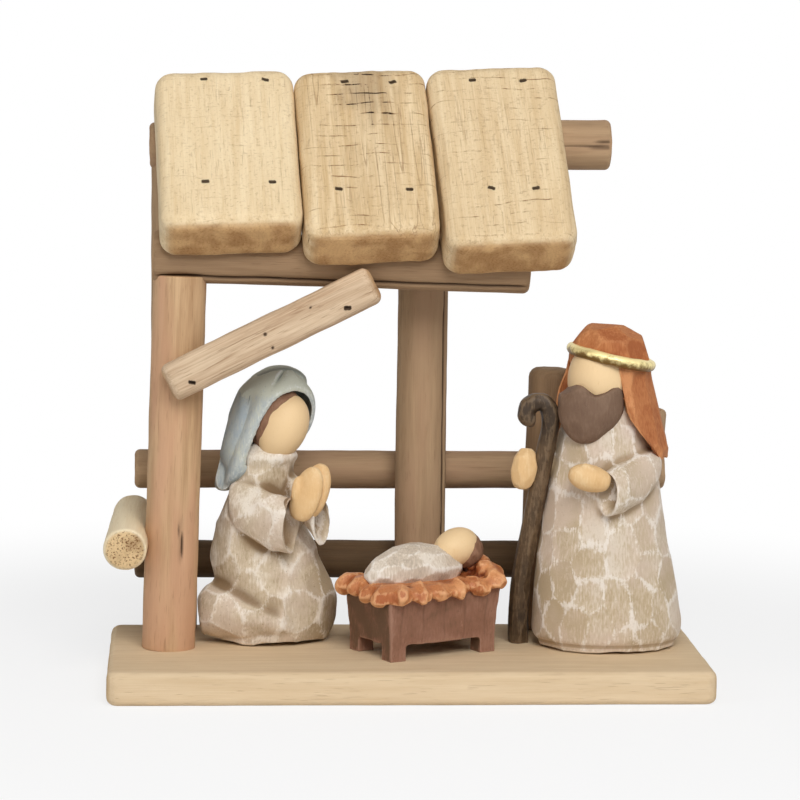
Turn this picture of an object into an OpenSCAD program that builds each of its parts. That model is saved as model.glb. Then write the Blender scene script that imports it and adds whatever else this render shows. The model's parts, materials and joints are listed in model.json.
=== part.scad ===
// Rustic nativity ornament: a nailed stick-and-board stable with painted cast figures.
// Millimetres. The origin is the centre of the base board's underside, X to the right,
// Y to the back and Z up.

/* [Base board] */
// Width of the base board
base_w = 180; // [176:1:196]
// Depth of the base board, front to back
base_d = 76; // [76:1:90]
// Thickness of the base board
base_t = 10; // [8:0.5:12]
// Rounding of the base board's edges
base_round = 2.5; // [1:0.5:4]

/* [Sticks] */
// Diameter of the upright posts
post_d = 15.6; // [14.5:0.1:16]
// Diameter of the front beam
beam_d = 15.5; // [14.5:0.1:16.5]
// Diameter of the rear purlin at its thick end
purlin_d = 15.4; // [14.5:0.1:16.5]
// Diameter of the fence rails
rail_d = 12; // [11:0.1:13]
// How deep a stick is let into the one it is nailed to
seat = 0.7; // [0.4:0.1:1]

/* [Stable] */
// Height of the beam's axis above the table, at its left end
beam_z = 128.9; // [126:0.1:130]
// Height of the purlin's axis above the table, at its left end
purlin_z = 160.3; // [158:0.1:162]
// Height of the upper fence rail's axis
upper_rail_z = 58.6; // [56:0.1:62]
// Height of the lower fence rail's axis
lower_rail_z = 30; // [28:0.1:33]

/* [Roof boards] */
// Thickness of the roof boards
board_t = 18; // [16:0.5:19]
// Widths of the roof boards, left to right
board_w = [40.7, 39.4, 38.8]; // [34:0.1:41]
// Lengths of the roof boards, left to right
board_l = [58, 62, 66]; // [56:0.5:70]
// Rounding of the roof boards' corners
board_round = 4.5; // [2:0.5:6]

/* [Fasteners] */
// Length of the brads
brad_l = 30; // [28:0.5:31]
// Width of a brad's head
brad_head_w = 2; // [1.6:0.1:2.4]
// How far a brad's head is set below the wood
brad_sink = 0.8; // [0.4:0.1:1.2]
// Length of the screws under the posts
screw_l = 28; // [22:1:32]

/* [Figures] */
// Height of the kneeling figure
kneeling_h = 84.3; // [78:0.1:86]
// Height of the standing figure
standing_h = 99.5; // [94:0.1:100]
// Length of the manger box at its foot
manger_l = 37; // [35:0.5:38]
// Width of the manger box at its foot
manger_w = 24; // [22:0.5:24]
// Turn of the manger on the base board, in degrees
manger_turn = 28; // [22:1:32]

/* [Hidden] */

$fn = 48;
big = 400;
through = 1;

pale_wood = "#e2cfa6";
roof_wood = "#dcc48f";
stick_wood = "#b98f6a";
shade_wood = "#9c7c58";
brad_steel = "#5d554b";
robe_cream = "#c9bda9";
staff_brown = "#4a3a2e";
manger_brown = "#6d4c3d";
straw_orange = "#c0703a";
swaddle_grey = "#c8c4bd";

// Places of the sticks, from the base board's size.
post_r = post_d / 2;
rail_r = rail_d / 2;
beam_r = beam_d / 2;
purlin_r = purlin_d / 2;
fence_back = base_d / 2 - 1.3;
front_y = 0.8;
rear_y = fence_back - post_r;
rail_y = fence_back + rail_r - seat;

front_left_foot = [-base_w / 2 + 18.1, front_y, base_t];
front_left_head = [-base_w / 2 + 21, front_y, beam_z - 8.5];
rear_left_x = -base_w / 2 + 19.4;
rear_left_d = post_d - 1;
centre_x = 6;
inner_post_d = post_d - 0.6;
inner_foot = [44.6, fence_back - inner_post_d / 2, base_t];
inner_head = [46.9, fence_back - inner_post_d / 2, 92.4];
end_post_d = post_d - 1.6;
end_foot = [71.6, fence_back - end_post_d / 2, base_t];
end_head = [75.8, fence_back - end_post_d / 2, 80];

beam_left = [-77.2, front_y, beam_z];
beam_right = [35.8, front_y, beam_z - 2.9];
purlin_left = [-78.4, rear_y, purlin_z];
purlin_right = [63.2, rear_y, purlin_z + 1.6];
purlin_thin_d = purlin_d - 2;

rail_left_x = -82.9;
upper_rail_right_x = 84.2;
lower_rail_right_x = 80;

side_rail_d = rail_d + 0.9;
side_rail_z = 42.4;
side_rail_front = 13;
side_rail_back = 15;

// Where a line from p to q is at a share t of the way.
function between(p, q, t) = p + (q - p) * t;
// Where a slanting line is at a given x or a given height.
function at_x(p, q, x) = between(p, q, (x - p[0]) / (q[0] - p[0]));
function at_z(p, q, z) = between(p, q, (z - p[2]) / (q[2] - p[2]));

// Roof boards: each rests on the beam and on the purlin, so its slope comes from them.
board_gap = 1.3;
board_left_edge = -75.4;
board_seat = beam_r - 0.85;
board_overhang = [5.2, 7, 8.4];
// Each board is nailed on a little askew, its lower end turned to the right.
board_turn = [0.8, 2.1, 3.3];
board_x = [for (i = [0:2]) board_left_edge + board_w[i] / 2 + i * board_gap
    + (i > 0 ? board_w[0] : 0) + (i > 1 ? board_w[1] : 0)];
function beam_at(x) = at_x(beam_left, beam_right, x);
function purlin_at(x) = at_x(purlin_left, purlin_right, x);
function slope(x) = atan2(purlin_at(x)[2] - beam_at(x)[2], rear_y - front_y);

// Brads of the roof: how far each sits from its board's middle, and up the board.
roof_brad_x = [
    [[-6.6, 13.2], [-7, 11.4]], [[-8.6, 12.3], [-6, 8.5]], [[-3.8, 9.4], [-7.7, 7.6]]
];
roof_brad_up = [[15, 53.6], [16, 56.2], [19.6, 59.6]];
beam_end_margin = 3.5;

brad_thick = 1.2;
brad_head_t = 0.8;
brad_shank_w = 1.3;
brad_tip = 1.6;
rail_brad_l = brad_l * 0.75;

brace_t = 8;
brace_low = [-72.4, 91.4];
brace_high = [-11.4, 122];
brace_low_w = 11.4;
brace_high_w = 9;
brace_round = 3;
brace_back = front_y - post_r + seat;
brace_brad_low = [-65.3, 92.6];
brace_brad_high = [-19.5, 115.6];
brace_brad_l = 20;

// Sections of the carved shapes: height, middle x, middle y, half width, half depth.
kneeling_at = [-42, 12];
kneeling_robe = [
    [0, 1, 0, 19.6, 12.2], [3, 0.8, 0, 20.8, 13], [10, 1, 0, 20.9, 13.4], [18, 1, 0, 19.8, 13],
    [26, -0.6, 0, 17.2, 12], [34, -2.4, -0.5, 15.2, 11], [42, -2.5, -0.5, 11.9, 10],
    [48, -1.8, -1, 10, 9], [53, -0.2, -1.5, 7.4, 7], [58, 1.6, -2.5, 4.8, 5]
];
kneeling_heel = [
    [0, -11.5, -2.5, 9.4, 9.8], [3, -11.6, -2.5, 10, 10.5], [12, -11.6, -2.5, 9.7, 10.2],
    [18, -12, -2, 8.4, 8.8], [20.6, -12.4, -1.5, 5.4, 5.6]
];
veil = [
    [46.5, -13.2, 3, 2.4, 5], [50, -11.6, 3, 4.6, 8], [55, -8.6, 3, 6.6, 10.5], [60, -4.4, 3, 10.6, 12],
    [66, -0.2, 2.5, 13.3, 12.6], [74, 2, 1.5, 12.7, 12], [79, 2.2, 1.5, 10.4, 9.8],
    [82.6, 3.4, 1.5, 6.8, 6.4], [84.3, 4, 1.5, 2.4, 2.4]
];
// The hood opens along a leaning plane; behind its rim it is hollowed for hair and face.
veil_rim = [-2, -9, 66];
veil_facing = [0.607, -0.73, -0.313];
veil_middle = [2, 1.5, 70];
veil_wall = 0.86;
veil_recess = 2.6;

// Heads and hands: middle, tilt, half length, radius.
kneeling_face = [[4.6, -3.6, 67], [-6, 16, 0], 10.6, 8.4];
kneeling_hair = [[2.6, -1.6, 69], [0, 14, 0], 11.2, 9.8];
standing_face = [[-5, -2.4, 84], [0, 0, 0], 13.4, 10.2];
front_hand = [[-8.4, -17, 54.2], [0, -76, 0], 6.4, 4.2];
staff_hand = [[-26.6, -2.6, 55], [0, 8, 0], 6.4, 3.8];
infant_head = [[12.4, -0.4, 32.2], [0, 70, 0], 7.2, 6.4];
infant_hair = [[15.6, 0, 30.6], [0, 70, 0], 6.2, 6.4];

// Sleeves: where each leaves the shoulder, where it points, and its sections along the arm,
// which drop as they go and end in a hollow cuff.
near_sleeve_from = [-9.5, -6.5, 48];
near_sleeve_to = [7.5, -16, 48];
near_sleeve = [
    [0, 0, 0, 4.6, 4.4], [3, 0.6, 0, 7, 5.8], [8, 3, 0, 8.6, 6.4], [14, 6.6, 0, 9.2, 6.2],
    [19.4, 9.6, 0, 9.5, 5.7], [19.4, 9.2, 0, 7.8, 4.2], [15.5, 7.4, 0, 6.8, 3.4]
];
far_sleeve_from = [6, -2, 48];
far_sleeve_to = [16.5, -12, 48];
far_sleeve = [
    [0, 0, 0, 4, 3.8], [3, 0.8, 0, 5.6, 4.7], [8, 4.6, 0, 6.9, 5], [14.4, 9.8, 0, 7.6, 4.8],
    [14.4, 9.5, 0, 6.1, 3.4], [11.5, 8, 0, 5.2, 2.8]
];
cross_sleeve_from = [12, -6, 60.5];
cross_sleeve_to = [-3.4, -17, 60.5];
cross_sleeve = [
    [0, -2.6, 0, 4.6, 4], [3, -1.2, 0, 6.4, 5.2], [8, 3, 0, 8, 6], [14, 8, 0, 8.5, 5.8],
    [18.8, 11.4, 0, 8.3, 5.2], [18.8, 11, 0, 6.8, 3.8], [15, 8.6, 0, 5.8, 3.1]
];
staff_arm_from = [-13, 2, 57];
staff_arm_to = [-27, 0.4, 57];
staff_arm = [[-2, 0, 0, 3.4, 3.4], [2, 0, 0, 4.6, 4.4], [8, 1, 0, 4.2, 3.9], [13.2, 2, 0, 3.6, 3.2]];

// The praying hands are two palms pressed together.
palm = [
    [-8.2, 0, 0, 2, 1.6], [-6.6, 0, 0, 3.8, 2.4], [-3, 0, 0, 4.9, 2.9], [2, 0, 0, 4.9, 2.8],
    [5.6, 0, 0, 4, 2.4], [8.4, 0, 0, 1.8, 1.4]
];
palm_places = [[11.3, -15.2, 47.4], [13.7, -12.4, 48]];
palm_lean = 18;
palm_turn = -36;

standing_at = [62, 3.3];
standing_robe = [
    [0, 0, 0, 21, 15.6], [2.2, -0.2, 0, 21.4, 16], [3.4, -0.4, 0, 23.2, 17], [8, -0.2, 0, 23.4, 17],
    [16, -0.8, 0, 22.5, 16.4], [25, -1.4, 0, 21.2, 15.6], [34, -1.8, 0, 19.9, 14.8],
    [48, -1.8, 0, 17.5, 13.4], [56, -1.9, 0, 16.1, 12.6], [63, -2.1, 0, 14.6, 11.6],
    [70, -2.6, 0, 12.6, 10.4], [76, -3.2, 0, 9.6, 9], [80, -3.5, 0, 6.5, 7]
];
beard = [
    [63.6, -9.2, -9, 2.4, 2.2], [65.4, -8.8, -8.7, 5.2, 3.9], [68.4, -8, -8.2, 8.2, 5.6],
    [72, -7.4, -7.6, 9.8, 6.8], [76, -7, -7, 10.3, 7.4], [80, -6.8, -6.1, 9.8, 7.4]
];
scarf_cap = [
    [87, -0.5, 1, 12.6, 11.8], [92, -0.6, 1, 12.2, 11.4], [96, -1, 1, 10, 9.6],
    [98.6, -1.6, 1, 6, 6], [99.5, -2, 1, 2.4, 2.4]
];
scarf_drape = [
    [58, 1.4, 5, 15.4, 10.2], [61, 0.6, 4.5, 17.2, 11.6], [75, -1.4, 3, 16.3, 12],
    [86, -0.4, 1.5, 13.1, 12], [90, -0.5, 1, 12.4, 11.6]
];
scarf_opening = [
    [-30, 92.6], [-13.5, 90], [1.8, 87.6], [1.8, 80], [4.2, 70.5], [7.6, 66.6], [12.8, 59.4],
    [13.6, 56], [-30, 56]
];
scarf_open_from = 2;
band_middle = [-1, 0.9, 90.4];
band_tilt = 11;
band_r = 12.5;
band_thick = 1.45;

// The staff's route, from its foot to the curled end of its crook, and its half thickness.
staff_route = [
    [35.4, 8, base_t], [35.1, 7.4, base_t + 6], [35.5, 6.4, base_t + 20], [38.8, 3.4, base_t + 41],
    [41.4, 0.4, base_t + 58], [43, -1.2, base_t + 69], [42.9, -1.5, base_t + 72.6],
    [41.4, -1.5, base_t + 75], [39.1, -1.5, base_t + 75.5], [37, -1.5, base_t + 74.2],
    [36.2, -1.5, base_t + 72.2], [36.8, -1.5, base_t + 70.4]
];
staff_r = [2.9, 3, 2.9, 2.8, 2.8, 2.7, 2.6, 2.5, 2.4, 2.3, 2.1, 1.6];
staff_sides = 10;

manger_at = [4.6, -4.4];
manger_leg = 4.6;
manger_leg_h = 5.5;
manger_h = 14.5;
manger_flare = 1.2;
manger_wall = 2.4;
straw_lumps = 18;
straw_r = 4.6;
swaddle = [
    [-19.5, -24, 0, 2.2, 2.6], [-17, -24.6, 0, 4.2, 4.8], [-11, -25.6, 0, 6.6, 7.2],
    [-4, -26, 0, 7.6, 8.4], [3, -25.6, 0, 7, 8], [9, -25.2, 0, 5.4, 6.4], [12.5, -25, 0, 3.4, 4.2]
];

// A round stick from one point to another, with eased ends and a slight swell in the middle.
module stick(from, to, d_from, d_to, ease = 1.2, swell = 0.25) {
    run = to - from;
    len = norm(run);
    steps = 6;
    turns = [for (a = [0:22.5:90]) a];
    side = [for (i = [0:steps]) let (t = i / steps)
        [d_from / 2 + (d_to - d_from) / 2 * t + swell * sin(180 * t), ease + (len - 2 * ease) * t]];
    foot = [for (a = turns) [d_from / 2 - ease + ease * sin(a), ease - ease * cos(a)]];
    head = [for (a = turns) [d_to / 2 - ease + ease * cos(a), len - ease + ease * sin(a)]];
    inner = [for (i = [1:steps - 1]) side[i]];
    translate(from)
        rotate([0, acos(run[2] / len), atan2(run[1], run[0])])
            rotate_extrude()
                polygon(concat([[0, 0]], foot, inner, head, [[0, len]]));
}

// A flat shape with round corners.
module round_square(w, l, r) {
    square([w - 2 * r, l], center = true);
    square([w, l - 2 * r], center = true);
    for (sx = [-1, 1], sy = [-1, 1])
        translate([sx * (w / 2 - r), sy * (l / 2 - r)]) circle(r);
}

// A board with rounded corners in plan and eased edges, resting on Z = 0.
module eased_board(w, l, t, corner, edge) {
    translate([0, 0, t / 2])
        intersection() {
            linear_extrude(t, center = true) round_square(w, l, corner);
            rotate([90, 0, 0]) linear_extrude(l + through, center = true) round_square(w, t, edge);
            rotate([90, 0, 90]) linear_extrude(w + through, center = true) round_square(l, t, edge);
        }
}

// A shape carved by hand: oval sections skinned with broad flat facets.
module carved(sections, sides = 14) {
    last = len(sections) - 1;
    rings = [for (k = [0:last], i = [0:sides - 1])
        let (s = sections[k], a = 360 * i / sides + 180 * k / sides)
        [s[1] + s[3] * cos(a), s[2] + s[4] * sin(a), s[0]]];
    skin(rings, last, sides);
}

// Closes rings of points, listed from the bottom up, into one solid.
module skin(rings, last, sides) {
    lower = [for (i = [0:sides - 1]) i];
    upper = [for (i = [sides - 1:-1:0]) last * sides + i];
    walls = [for (k = [0:last - 1], i = [0:sides - 1])
        let (a = k * sides + i, b = k * sides + (i + 1) % sides)
        each [[a, a + sides, b], [a + sides, b + sides, b]]];
    polyhedron(points = rings, faces = concat([lower, upper], walls));
}

// An egg shape about Z.
module egg(half_l, r) {
    rotate_extrude() polygon([for (a = [-90:15:90]) [r * cos(a), half_l * sin(a)]]);
}

// A carved sleeve that leaves the shoulder level and drops along its sections.
module sleeve(from, to, sections) {
    run = to - from;
    translate(from)
        rotate([0, 90, atan2(run[1], run[0])])
            carved(sections, 14);
}

// A head or a hand: an egg at its middle, tilted.
module egg_at(e) translate(e[0]) rotate(e[1]) egg(e[2], e[3]);

// Everything ahead of a plane through a point.
module ahead(point, facing) {
    translate(point)
        rotate([0, acos(facing[2] / norm(facing)), atan2(facing[1], facing[0])])
            translate([-big / 2, -big / 2, 0]) cube(big);
}

// A wire brad pointing down, with its head's top at the given sink below Z = 0.
module brad(l) {
    half_head = brad_head_w / 2;
    half_shank = brad_shank_w / 2;
    rotate([90, 0, 0])
        linear_extrude(brad_thick, center = true)
            polygon([
                [-half_head, -brad_sink], [-half_head, -brad_sink - brad_head_t],
                [-half_shank, -brad_sink - brad_head_t], [-half_shank, -l + brad_tip], [0, -l],
                [half_shank, -l + brad_tip], [half_shank, -brad_sink - brad_head_t],
                [half_head, -brad_sink - brad_head_t], [half_head, -brad_sink]
            ]);
}

// What a driven brad leaves in the wood: its own shape and the slot over its head.
module brad_hole(l) {
    brad(l);
    translate([0, 0, brad_sink])
        cube([brad_head_w, brad_thick, 4 * brad_sink], center = true);
}

// Places children at an entry point so that their -Z runs towards a target.
module aim(entry, target) {
    run = entry - target;
    translate(entry)
        rotate([0, acos(run[2] / norm(run)), atan2(run[1], run[0])])
            rotate([0, 0, -atan2(run[1], run[0])])
                children();
}

// Runs children once for each roof brad: entry on the board's top, aimed at the stick below.
module at_roof_brads(boards = [0, 1, 2]) {
    for (i = boards, end = [0, 1], side = [0, 1]) {
        x = board_x[i] + roof_brad_x[i][end][side];
        a = slope(board_x[i]);
        up = roof_brad_up[i][end] - board_overhang[i];
        lift = board_seat + board_t;
        across = [x - board_x[i], 0, 0];
        entry = beam_at(board_x[i]) + across + up * [0, cos(a), sin(a)] + lift * [0, -sin(a), cos(a)];
        reach = min(x, beam_right[0] - beam_end_margin);
        aim(entry, end == 0 ? beam_at(reach) : purlin_at(x)) children();
    }
}

// Runs children at each brad that goes down through a log into a post top.
module at_log_brads() {
    translate(at_x(beam_left, beam_right, front_left_head[0]) + [0, 0, beam_r - through]) children();
    for (x = [rear_left_x, centre_x])
        translate(purlin_at(x) + [0, 0, purlin_r - 2 * through]) children();
}

// Runs children at the brace's brads: one straight into the post, one up into the beam.
module at_brace_brads() {
    face_y = brace_back - brace_t;
    low = [brace_brad_low[0], face_y, brace_brad_low[1]];
    high = [brace_brad_high[0], face_y, brace_brad_high[1]];
    aim(low, [low[0], front_y, low[2]]) children();
    aim(high, beam_at(high[0])) children();
}

// The x of each fence post where a rail crosses it.
function fence_x(z) = [
    rear_left_x, centre_x, at_z(inner_foot, inner_head, z)[0], at_z(end_foot, end_head, z)[0]
];

module at_rail_brads(rails = [upper_rail_z, lower_rail_z]) {
    for (z = rails, x = fence_x(z))
        translate([x, rail_y + rail_r, z]) rotate([-90, 0, 0]) children();
}

// The side rail lies against the left faces of the two left posts.
side_rail_r = side_rail_d / 2;
side_reach = side_rail_r - seat;
side_at_front = at_z(front_left_foot, front_left_head, side_rail_z) - [post_r + side_reach, 0, 0];
side_at_rear = [rear_left_x - rear_left_d / 2 - side_reach, rear_y, side_rail_z + 1];
side_run = (side_at_rear - side_at_front) / norm(side_at_rear - side_at_front);
side_rail_from = side_at_front - side_run * side_rail_front;
side_rail_to = side_at_rear + side_run * side_rail_back;

module at_side_rail_brads() {
    for (p = [side_at_front, side_at_rear])
        translate(p - [side_rail_r, 0, 0]) rotate([0, -90, 0]) children();
}

screw_head_r = 3.5;
screw_shank_r = 1.75;
screw_sink = 0.5;

// A countersunk screw pointing up, its flat head just inside Z = 0.
module screw() {
    translate([0, 0, screw_sink]) cylinder(screw_head_r - screw_shank_r, screw_head_r, screw_shank_r);
    cylinder_from = screw_sink + screw_head_r - screw_shank_r;
    translate([0, 0, cylinder_from]) cylinder(screw_l - cylinder_from - screw_shank_r, r = screw_shank_r);
    translate([0, 0, screw_l - screw_shank_r]) cylinder(screw_shank_r, screw_shank_r, 0.3);
}

module screw_hole() {
    screw();
    translate([0, 0, -through]) cylinder(through + screw_sink, r = screw_head_r);
}

module at_post_screws() {
    for (p = [front_left_foot, [rear_left_x, rear_y, 0], [centre_x, rear_y, 0], inner_foot, end_foot])
        translate([p[0], p[1], 0]) children();
}

// Cuts a stick flush with the top of the base board.
module above_base() {
    intersection() {
        children();
        translate([-big / 2, -big / 2, base_t]) cube(big);
    }
}

// Plain forms that the pieces are cut from and let into each other with.
module beam_stick() stick(beam_left, beam_right, beam_d, beam_d - 0.4, 2.2);
module purlin_stick() stick(purlin_left, purlin_right, purlin_thin_d, purlin_d, 2.2);
module side_rail_stick() stick(side_rail_from, side_rail_to, side_rail_d, side_rail_d - 0.4, 1.8, 0);
module rail_stick(z, right_x)
    stick([rail_left_x, rail_y, z], [right_x, rail_y, z], rail_d, rail_d - 0.3, 2.4, 0);

module rails() {
    rail_stick(upper_rail_z, upper_rail_right_x);
    rail_stick(lower_rail_z, lower_rail_right_x);
}

module brace_blank() {
    run = brace_high - brace_low;
    len = norm(run);
    translate([brace_low[0], brace_back, brace_low[1]])
        rotate([0, -atan2(run[1], run[0]), 0])
            intersection() {
                rotate([90, 0, 0])
                    linear_extrude(brace_t)
                        polygon([
                            [0, -brace_low_w / 2], [len, -brace_high_w / 2],
                            [len, brace_high_w / 2], [0, brace_low_w / 2]
                        ]);
                rotate([0, 90, 0])
                    linear_extrude(3 * len, center = true)
                        translate([0, -brace_t / 2 + brace_round / 2])
                            round_square(brace_low_w, brace_t + brace_round, brace_round);
            }
}

module roof_board_blank(i) {
    a = slope(board_x[i]);
    translate(beam_at(board_x[i]))
        rotate([a, 0, 0])
            translate([0, board_l[i] / 2 - board_overhang[i], board_seat])
                rotate([0, 0, board_turn[i]])
                    eased_board(board_w[i], board_l[i], board_t, board_round, board_round * 0.75);
}

module base_board() color(pale_wood)
    difference() {
        eased_board(base_w, base_d, base_t, base_round * 1.4, base_round);
        at_post_screws() screw_hole();
    }

module front_left_post() color(stick_wood)
    difference() {
        above_base() stick(
            at_z(front_left_foot, front_left_head, base_t - 3),
            at_z(front_left_foot, front_left_head, beam_z - beam_r + 3 * seat),
            post_d, post_d + 0.4, 0.4, 0);
        beam_stick();
        brace_blank();
        side_rail_stick();
        at_post_screws() screw();
        at_log_brads() brad(brad_l);
        at_brace_brads() brad(brace_brad_l);
        at_side_rail_brads() brad(rail_brad_l);
    }

module rear_left_post() color(shade_wood)
    difference() {
        stick([rear_left_x, rear_y, base_t], [rear_left_x, rear_y, purlin_z - purlin_thin_d / 2 + 2 * seat],
            rear_left_d, rear_left_d, 0.4, 0);
        purlin_stick();
        rails();
        side_rail_stick();
        at_post_screws() screw();
        at_log_brads() brad(brad_l);
        at_rail_brads() brad(rail_brad_l);
        at_side_rail_brads() brad(rail_brad_l);
    }

module rear_centre_post() color(shade_wood)
    difference() {
        stick([centre_x, rear_y, base_t], [centre_x, rear_y, purlin_at(centre_x)[2] - purlin_r + 3 * seat],
            post_d, post_d, 0.4, 0);
        purlin_stick();
        rails();
        at_post_screws() screw();
        at_log_brads() brad(brad_l);
        at_rail_brads() brad(rail_brad_l);
    }

module fence_post(foot, head, d) color(shade_wood)
    difference() {
        above_base() stick(at_z(foot, head, base_t - 3), head, d, d - 0.4, 1.8, 0);
        rails();
        at_post_screws() screw();
        at_rail_brads() brad(rail_brad_l);
    }

module inner_fence_post() fence_post(inner_foot, inner_head, inner_post_d);
module end_fence_post() fence_post(end_foot, end_head, end_post_d);

module front_beam() color(stick_wood)
    difference() {
        beam_stick();
        for (i = [0:2]) roof_board_blank(i);
        brace_blank();
        at_roof_brads() brad(brad_l);
        at_log_brads() brad_hole(brad_l);
        at_brace_brads() brad(brace_brad_l);
    }

module rear_purlin() color(stick_wood)
    difference() {
        purlin_stick();
        for (i = [0:2]) roof_board_blank(i);
        at_roof_brads() brad(brad_l);
        at_log_brads() brad_hole(brad_l);
    }

module roof_board(i) color(roof_wood)
    difference() {
        roof_board_blank(i);
        at_roof_brads([i]) brad_hole(brad_l);
    }

module roof_board_left() roof_board(0);
module roof_board_middle() roof_board(1);
module roof_board_right() roof_board(2);

module knee_brace() color(roof_wood)
    difference() {
        brace_blank();
        at_brace_brads() brad_hole(brace_brad_l);
    }

module upper_rail() color(shade_wood)
    difference() {
        rail_stick(upper_rail_z, upper_rail_right_x);
        at_rail_brads([upper_rail_z]) brad_hole(rail_brad_l);
    }

module lower_rail() color(shade_wood)
    difference() {
        rail_stick(lower_rail_z, lower_rail_right_x);
        at_rail_brads([lower_rail_z]) brad_hole(rail_brad_l);
    }

module side_rail() color(roof_wood)
    difference() {
        side_rail_stick();
        at_side_rail_brads() brad_hole(rail_brad_l);
    }

module roof_brads() color(brad_steel) at_roof_brads() brad(brad_l);
module log_brads() color(brad_steel) at_log_brads() brad(brad_l);
module brace_brads() color(brad_steel) at_brace_brads() brad(brace_brad_l);
module rail_brads() color(brad_steel) at_rail_brads() brad(rail_brad_l);
module side_rail_brads() color(brad_steel) at_side_rail_brads() brad(rail_brad_l);
module post_screws() color(brad_steel) at_post_screws() screw();

// Moves a figure drawn about its foot to its place on the base board.
module stand_at(place, k) translate([place[0], place[1], base_t]) scale(k) children();

module hood() {
    difference() {
        carved(veil, 16);
        ahead(veil_rim, veil_facing);
        intersection() {
            translate(veil_middle + veil_facing * veil_recess)
                scale(veil_wall)
                    translate(-veil_middle) carved(veil, 16);
            ahead(veil_rim - veil_facing * veil_recess, veil_facing);
        }
    }
}

module kneeling_figure() color(robe_cream)
    stand_at(kneeling_at, kneeling_h / veil[len(veil) - 1][0]) {
        carved(kneeling_robe, 16);
        carved(kneeling_heel, 12);
        hood();
        egg_at(kneeling_hair);
        egg_at(kneeling_face);
        sleeve(near_sleeve_from, near_sleeve_to, near_sleeve);
        sleeve(far_sleeve_from, far_sleeve_to, far_sleeve);
        for (p = palm_places)
            translate(p) rotate([0, palm_lean, 0]) rotate([0, 0, palm_turn]) carved(palm, 12);
    }

module headscarf() {
    carved(scarf_cap, 14);
    difference() {
        carved(scarf_drape, 16);
        translate([0, scarf_open_from, 0])
            rotate([90, 0, 0])
                linear_extrude(big / 4) polygon(scarf_opening);
    }
    translate(band_middle)
        rotate([0, band_tilt, 0])
            rotate_extrude()
                translate([band_r, 0]) circle(band_thick);
}

module standing_figure() color(robe_cream)
    difference() {
        stand_at(standing_at, standing_h / scarf_cap[len(scarf_cap) - 1][0]) {
            carved(standing_robe, 16);
            egg_at(standing_face);
            carved(beard, 14);
            headscarf();
            sleeve(cross_sleeve_from, cross_sleeve_to, cross_sleeve);
            egg_at(front_hand);
            sleeve(staff_arm_from, staff_arm_to, staff_arm);
            egg_at(staff_hand);
        }
        crook_staff_solid();
    }

// The staff is one skin of small rings swept along its route.
module crook_staff_solid() {
    last = len(staff_route) - 1;
    rings = [for (k = [0:last], i = [0:staff_sides - 1])
        let (
            ahead = staff_route[min(k + 1, last)] - staff_route[max(k - 1, 0)],
            flat = k == 0 ? [0, 0, 1] : ahead / norm(ahead),
            side = [0, 1, 0],
            out = cross(flat, side) / norm(cross(flat, side)),
            up = cross(out, flat),
            a = -360 * i / staff_sides - 180 * k / staff_sides
        )
        staff_route[k] + staff_r[k] * (cos(a) * out + sin(a) * up)];
    skin(rings, last, staff_sides);
}

module crook_staff() color(staff_brown) crook_staff_solid();

module in_manger() translate([manger_at[0], manger_at[1], base_t]) rotate([0, 0, manger_turn]) children();

// The tapering box of the manger, with sides that lean out by flare.
module manger_block(inset, from, to) {
    share_from = manger_flare * (from - manger_leg_h) / manger_h;
    share_to = manger_flare * (to - manger_leg_h) / manger_h;
    l = [manger_l / 2 - inset + share_from, manger_l / 2 - inset + share_to];
    w = [manger_w / 2 - inset + share_from, manger_w / 2 - inset + share_to];
    z = [from, to];
    corners = [for (k = [0, 1], c = [[-1, -1], [1, -1], [1, 1], [-1, 1]]) [c[0] * l[k], c[1] * w[k], z[k]]];
    polyhedron(corners, [[0, 1, 2, 3], [7, 6, 5, 4], [0, 4, 5, 1], [1, 5, 6, 2], [2, 6, 7, 3], [3, 7, 4, 0]]);
}

module manger_box() in_manger()
    difference() {
        manger_block(0, manger_leg_h, manger_leg_h + manger_h);
        manger_block(manger_wall, manger_leg_h + manger_wall, manger_leg_h + manger_h + through);
    }

module manger() color(manger_brown) {
    manger_box();
    in_manger()
        for (sx = [-1, 1], sy = [-1, 1])
            translate([
                sx * (manger_l - manger_leg) / 2 - manger_leg / 2,
                sy * (manger_w - manger_leg) / 2 - manger_leg / 2, 0
            ]) cube([manger_leg, manger_leg, manger_leg_h]);
}

// A place round the manger's rim, at a share t of its length.
function rim(t) = let (
    l = manger_l / 2 + manger_flare,
    w = manger_w / 2 + manger_flare,
    way = t * 4 * (l + w)
) way < 2 * l ? [-l + way, -w]
    : way < 2 * l + 2 * w ? [l, -w + way - 2 * l]
    : way < 4 * l + 2 * w ? [l - (way - 2 * l - 2 * w), w]
    : [-l, w - (way - 4 * l - 2 * w)];

module straw_bed() color(straw_orange)
    difference() {
        in_manger() {
            manger_block(manger_wall, manger_leg_h + manger_h / 2, manger_leg_h + manger_h + 1.5);
            for (k = [0:straw_lumps - 1]) {
                p = rim((k + 0.5) / straw_lumps);
                drop = 1.2 * cos(137 * k);
                translate([p[0], p[1], manger_leg_h + manger_h - 0.4 + drop])
                    rotate([20 * sin(97 * k), 20 * cos(61 * k), 49 * k])
                        scale([1, 1, 0.8]) sphere(straw_r, $fn = 7);
            }
        }
        manger_box();
        infant_solid();
    }

module infant_solid() in_manger() {
    rotate([0, 90, 0]) carved(swaddle, 14);
    egg_at(infant_head);
    egg_at(infant_hair);
}

module infant() color(swaddle_grey) infant_solid();

base_board();
front_left_post();
rear_left_post();
rear_centre_post();
inner_fence_post();
end_fence_post();
front_beam();
rear_purlin();
roof_board_left();
roof_board_middle();
roof_board_right();
knee_brace();
upper_rail();
lower_rail();
side_rail();
roof_brads();
log_brads();
brace_brads();
rail_brads();
side_rail_brads();
post_screws();
kneeling_figure();
standing_figure();
crook_staff();
manger();
straw_bed();
infant();
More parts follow.
